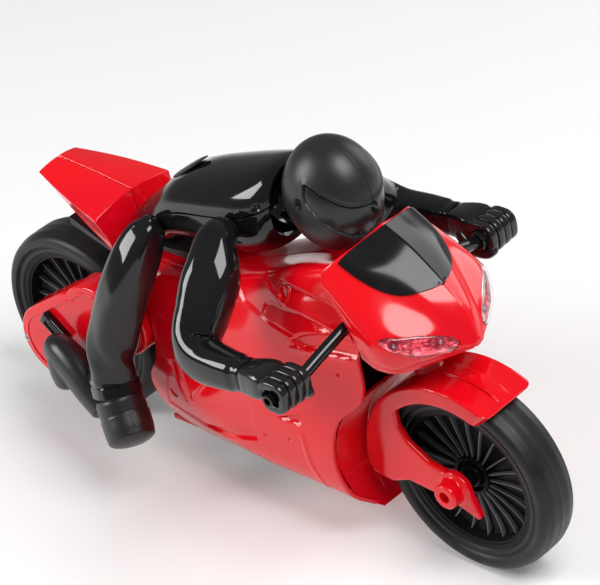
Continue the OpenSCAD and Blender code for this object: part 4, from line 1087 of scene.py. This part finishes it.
post = rod("pin", (-97, 18.6, 51), (-97, 26.9, 51), 2.5, "black")
pegs = join("peg_blocks", peg(-29.8, -26.5) + peg(26.5, 29.8) + [post])
put(pegs, "bike", "foot_pegs")

# ---------------------------------------------------------------- wheels
def wheel_rim(name, at, bead_r, half_w, hub_half, bore_d):
    """Dished wheel: hub with a double ring, a black web, a stepped bead ring and thin curved ribs."""
    right_side = [(bore_d / 2, -hub_half), (3.3, -hub_half), (3.6, -hub_half + 0.3), (3.7, -5.2),
                  (4.6, -5.0), (5.0, -4.0), (5.4, -2.6), (6.6, -2.5), (6.9, -4.3), (7.2, -4.5),
                  (7.9, -4.4), (8.2, -4.0), (8.3, -1.7), (bead_r - 5.0, -1.6), (bead_r - 4.0, -2.2),
                  (bead_r - 3.3, -half_w + 3.2), (bead_r - 3.0, -half_w + 1.9),
                  (bead_r - 2.2, -half_w + 1.6), (bead_r - 1.9, -half_w + 1.15),
                  (bead_r, -half_w + 1.0)]
    profile = right_side + [(r, -y) for r, y in right_side[::-1]]
    parts = [lathe_y("web", profile, (at[0], 0, at[1]), "rim", steps=120, angle=32)]
    r0, r1 = 7.6, bead_r - 3.1
    ribs, w = 21, 0.26
    for k in range(ribs):
        for s in (-1, 1):
            rr = np.linspace(r0, r1, 15)
            f = (rr - r0) / (r1 - r0)
            ang = 2 * math.pi * (k + (0.25 if s > 0 else 0)) / ribs + 0.09 * np.sin(f * math.pi * 0.75)
            deep = 2.7 + 0.3 * np.sin(math.pi * f) ** 0.7 + 0.5 * (1 - f) ** 3 + 1.4 * f ** 4
            ring = []
            for r, an, d in zip(rr, ang, deep):
                c, sn = math.cos(an), math.sin(an)
                ring.append([(at[0] + r * c - w * k2 * sn, s * h, at[1] + r * sn + w * k2 * c)
                             for k2, h in ((-1.25, 1.2), (-1, d - 0.12), (-0.6, d), (0.6, d), (1, d - 0.12),
                                           (1.25, 1.2))])
            # The ribs take the grey rib finish: painted highlight.
            parts.append(tube("rib", np.array(ring), "rib", angle=40))
    return join(name, parts)


def wheel_tyre(name, at, r, w, bead_r):
    """Slick tyre: bead ring, sidewall step, rounded shoulders, flat tread with a parting line."""
    h = w / 2
    right_side = [(bead_r, -h + 2.0), (bead_r + 0.5, -h + 1.35), (bead_r + 2.0, -h + 1.2),
                  (bead_r + 2.3, -h + 1.5), (bead_r + 2.7, -h + 1.5), (bead_r + 3.1, -h + 0.9),
                  (r - 5.2, -h + 0.15), (r - 4.2, -h)]
    right_side += [(r - 3.9 + 3.35 * math.cos(b), -h + 3.4 + 3.4 * math.sin(b))
                   for b in np.radians(np.linspace(-84, -25, 9))]
    right_side += [(r - 0.32, -h + 4.1), (r - 0.12, -h + 4.4), (r - 0.02, -h + 5.4), (r, -h + 7.0),
                   (r, -0.4), (r + 0.08, -0.15)]
    profile = right_side + [(a, -b) for a, b in right_side[::-1]]
    return lathe_y(name, profile, (at[0], 0, at[1]), "rubber", steps=180, angle=28)


for end, at, bead_r, half_w, hub_half, bore_d, tyre_r, tyre_w in (
        ("rear", rear_at, 33.2, 9.5, 11.2, 3.0, 41.95, 21.0),
        ("front", front_at, 31.3, 8.5, 10.4, 3.1, 40.95, 19.0)):
    body = end + "_wheel"
    put(wheel_rim(body + "_disc", at, bead_r, half_w, hub_half, bore_d), body, end + "_rim")
    put(wheel_tyre(body + "_tyre", at, tyre_r, tyre_w, bead_r), body, end + "_tyre")


# ---------------------------------------------------------------- fork with its mudguard
def arc(r, a0, a1, steps):
    """Points on a circle between two angles in degrees."""
    b = np.radians(np.linspace(a0, a1, steps + 1))
    return [(r * math.cos(t), r * math.sin(t)) for t in b]


def at_front(points):
    """Outline moved to the front axle."""
    return [(front_at[0] + x, front_at[1] + z) for x, z in points]


def on_axle(y):
    """Point on the front axle line."""
    return front_at[0], y, front_at[1]


leg = [*arc(45.2, 62, 186, 48), (-40, -9), (-33, -9.5), (-24, -5.5), (-12, -6.5), (-4, -5), (4, -3),
       (4, 4), (-2, 6), (-12.5, 8), (-22, 14), (-26, 20), (-26.5, 27), *arc(37.2, 132, 66, 24)]
guard_half, gap_half = 14.5, 11.5
block = plate_y("guard", at_front(leg), -guard_half, guard_half, "red", 2.6, 5, angle=40)
hollow = plate_y("hollow", at_front(arc(43, 0, 360, 120)[:-1]), -gap_half, gap_half, "red", 0, 1)
cut(block, hollow)
parts = [block]
for s in (-1, 1):
    lo, hi = sorted((s * gap_half, s * 14.9))
    lug = [(-1, -6.5), (10.8, -10.6), (12, -9.2), (7.4, 1)]
    parts.append(plate_y("disc", at_front(arc(7.8, 0, 360, 48)[:-1]), lo, hi, "red", 0.8, 3))
    parts.append(plate_y("lug", at_front(lug), lo, hi, "red", 0.6, 3))
    parts.append(rod("boss", on_axle(s * 11.6), on_axle(s * 20.7), 5.75, "red", r2=5.45, sides=56, rim=0.5))
rake = math.radians(24)
axis = np.array([-math.sin(rake), 0, math.cos(rake)])
hub = np.array(on_axle(0))
parts.append(rod("crown", hub + axis * 43.4, hub + axis * 51.4, 5.5, "red", sides=48, rim=0.6))
fork = fused("fork_and_mudguard", parts, "red", 0.48, 5, angle=50)
for s in (-1, 1):
    # The bore walls take the cutter's near-black finish: painted shade.
    cut(fork, rod("tool", on_axle(s * 17.0), on_axle(s * 24), 2.45, "hole", sides=40))
# Rounded front corners of the mudguard: points past the corner's arc move back onto it
slant, corner_r = math.radians(44), 4.5
end_at = np.array([front_at[0] + 21.2, 0, front_at[1] + 39.9])
forward = np.array([math.sin(slant), 0, -math.cos(slant)])
for v in fork.data.vertices:
    p = np.array(v.co) / MM
    ahead, aside = (p - end_at) @ forward + corner_r, abs(p[1]) - (guard_half - corner_r)
    far = math.hypot(ahead, aside)
    if ahead > 0 and aside > 0 and far > corner_r and p[2] > front_at[1] + 25:
        p = p + forward * ahead * (corner_r / far - 1)
        p[1] = math.copysign(guard_half - corner_r + aside * corner_r / far, p[1])
        v.co = p * MM
band = [*arc(46.15, 71, 101, 24), *(arc(44.6, b, b, 0)[0] for b in (101, 96, 90, 84, 78, 72, 66)),
        *arc(45.25, 65.5, 65.5, 0)]
raised = plate_y("band", at_front(band), -3.4, 3.4, "red", 0.3, 3)
fork = join("fork_and_mudguard", [fork, raised])
put(fork, "fork", "front_fork")


# ---------------------------------------------------------------- gearbox cover
motor_at = np.array([-57.0, 67.0])
axle_at = np.array(rear_at)
reach = np.linalg.norm(motor_at - axle_at)
# Centre distances of gears with 32 + 14 and 34 + 10 teeth, module 0.8
mesh_wheel, mesh_first = 0.8 * 46 / 2, 0.8 * 44 / 2
bend = math.acos(((2 * mesh_wheel) ** 2 + reach ** 2 - mesh_first ** 2) / (4 * mesh_wheel * reach))
lean = math.atan2(*(motor_at - axle_at)[::-1]) + bend
first_at = axle_at + 2 * mesh_wheel * np.array([math.cos(lean), math.sin(lean)])
middle = np.array([-84.0, 56.0])
shell_r, shell_y = 17.2, (-26.5, -13.5)  # radius round each gear, and from face to open side


def gearbox_outline(r):
    """Outline round the wheel gear, the elbow, the first gear and the motor."""
    out = []
    t = np.linspace(0, 1, 60)[:, None]
    centres = np.concatenate([axle_at + t * (middle - axle_at), middle + t * (motor_at - middle),
                              first_at[None]])
    radii = np.concatenate([np.full(60, r), r * (1 - 0.22 * t[:, 0]), [r]])
    for a in np.linspace(0, 2 * math.pi, 150, endpoint=False):
        d = np.array([math.cos(a), math.sin(a)])
        rel = centres - middle
        along = rel @ d
        miss = np.sum(rel * rel, 1) - along ** 2
        ok = radii ** 2 >= miss
        out.append(middle + d * np.max(along[ok] + np.sqrt(radii[ok] ** 2 - miss[ok])))
    return out


cover = plate_y("gearbox_shell", gearbox_outline(shell_r), *shell_y, "red", 1.9, 5, angle=50)
cut(cover, plate_y("tool", gearbox_outline(15.6), -25.0, -5.0, "red", 0, 1))
for at, a in ((axle_at, 190), (first_at, 60)):
    c = at + 15.3 * np.array([math.cos(math.radians(a)), math.sin(math.radians(a))])
    cut(cover, rod("tool", (c[0], -27.5, c[1]), (c[0], -25.6, c[1]), 1.95, "red", sides=32, rim=0.05))
ridge = plate_y("ridge", gearbox_outline(14.2), -26.85, -26.3, "red", 0.35, 3, angle=50)
cut(ridge, plate_y("tool", gearbox_outline(13.2), -28, -25.0, "red", 0, 1))
put(join("gearbox_shell", [cover, ridge]), "bike", "gearbox_cover")

# ---------------------------------------------------------------- finishes of the CAD nodes
LOOKS = {
    "red": ["fairing_right", "fairing_left", "wheel_arch", "nose_cowl", "tail_cowl_right",
            "tail_cowl_left", "gearbox_cover", "front_fork"],
    # These inner parts get the darker red: painted shade.
    "red_in_shaded": ["belly_pan", "gearbox_plate", "swingarm_left"],
    "black": ["power_switch", "torso_back", "torso_front", "arm_right", "arm_left", "thigh_right",
              "thigh_left", "neck", "handlebar_right", "handlebar_left", "foot_pegs"],
    "matte": ["seat_base", "chassis_frame", "battery_door", "hand_right", "hand_left", "knee_right",
              "knee_left"],
    "helmet": ["helmet_right", "helmet_left", "visor", "back_cap"],
    "boot": ["shin_right", "shin_left"],
    "rim": ["front_rim", "rear_rim"],
    "rubber": ["front_tyre", "rear_tyre"],
    "green": ["circuit_board"],
    "blue": ["battery_pack"],
    "steel": ["drive_motor", "gear_shafts", "rear_axle", "steering_stem", "steering_motor",
              "front_axle", "cover_screws"],
    "brass": ["motor_pinion", "steering_pinion"],
    "nylon": ["first_gear", "second_gear", "wheel_gear", "steering_sector"],
    "led": ["headlight_leds"],
}
for key, names in LOOKS.items():
    for name in names:
        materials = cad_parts[name].data.materials
        materials.clear()
        materials.append(MAT[key])

# ---------------------------------------------------------------- floor and lights
floor_me = bpy.data.meshes.new("floor")
e = 4.0  # half of the floor's side
floor_me.from_pydata([(-e, -e, 0), (e, -e, 0), (e, e, 0), (-e, e, 0)], [], [(0, 1, 2, 3)])
floor = bpy.data.objects.new("floor", floor_me)
scene.collection.objects.link(floor)
white = Graph("studio floor")
white.constant(Base_Color=(0.8, 0.8, 0.8, 1), Emission_Color=(1, 1, 1, 1), Emission_Strength=0.1,
               Roughness=0.9, Specular_IOR_Level=0.1)
floor_me.materials.append(white.mat)


def softbox(name, place, target, width, height, power):
    """Rectangular lamp that faces the target."""
    data = bpy.data.lights.new(name, "AREA")
    data.shape = "RECTANGLE"
    data.size, data.size_y = width, height
    data.energy = power
    ob = bpy.data.objects.new(name, data)
    scene.collection.objects.link(ob)
    turned = (Vector(target) - Vector(place)).to_track_quat("-Z", "Y").to_matrix().to_4x4()
    ob.matrix_world = Matrix.Translation(place) @ turned


softbox("key softbox", (0.62, 0, 1.02), (0.02, 0, 0.09), 0.62, 0.62, 11.5)
softbox("side softbox", (-0.72, -0.72, 0.62), (0, 0, 0.08), 0.45, 0.6, 9)
softbox("far softbox", (0.12, 1.1, 0.5), (0, 0, 0.08), 0.6, 0.7, 3.5)
world = bpy.data.worlds.new("studio")
scene.world = world
world.use_nodes = True
sky = world.node_tree.nodes["Background"]
sky.inputs[0].default_value = (1, 1, 1, 1)
sky.inputs[1].default_value = 0.2
scene.view_settings.view_transform = "Standard"
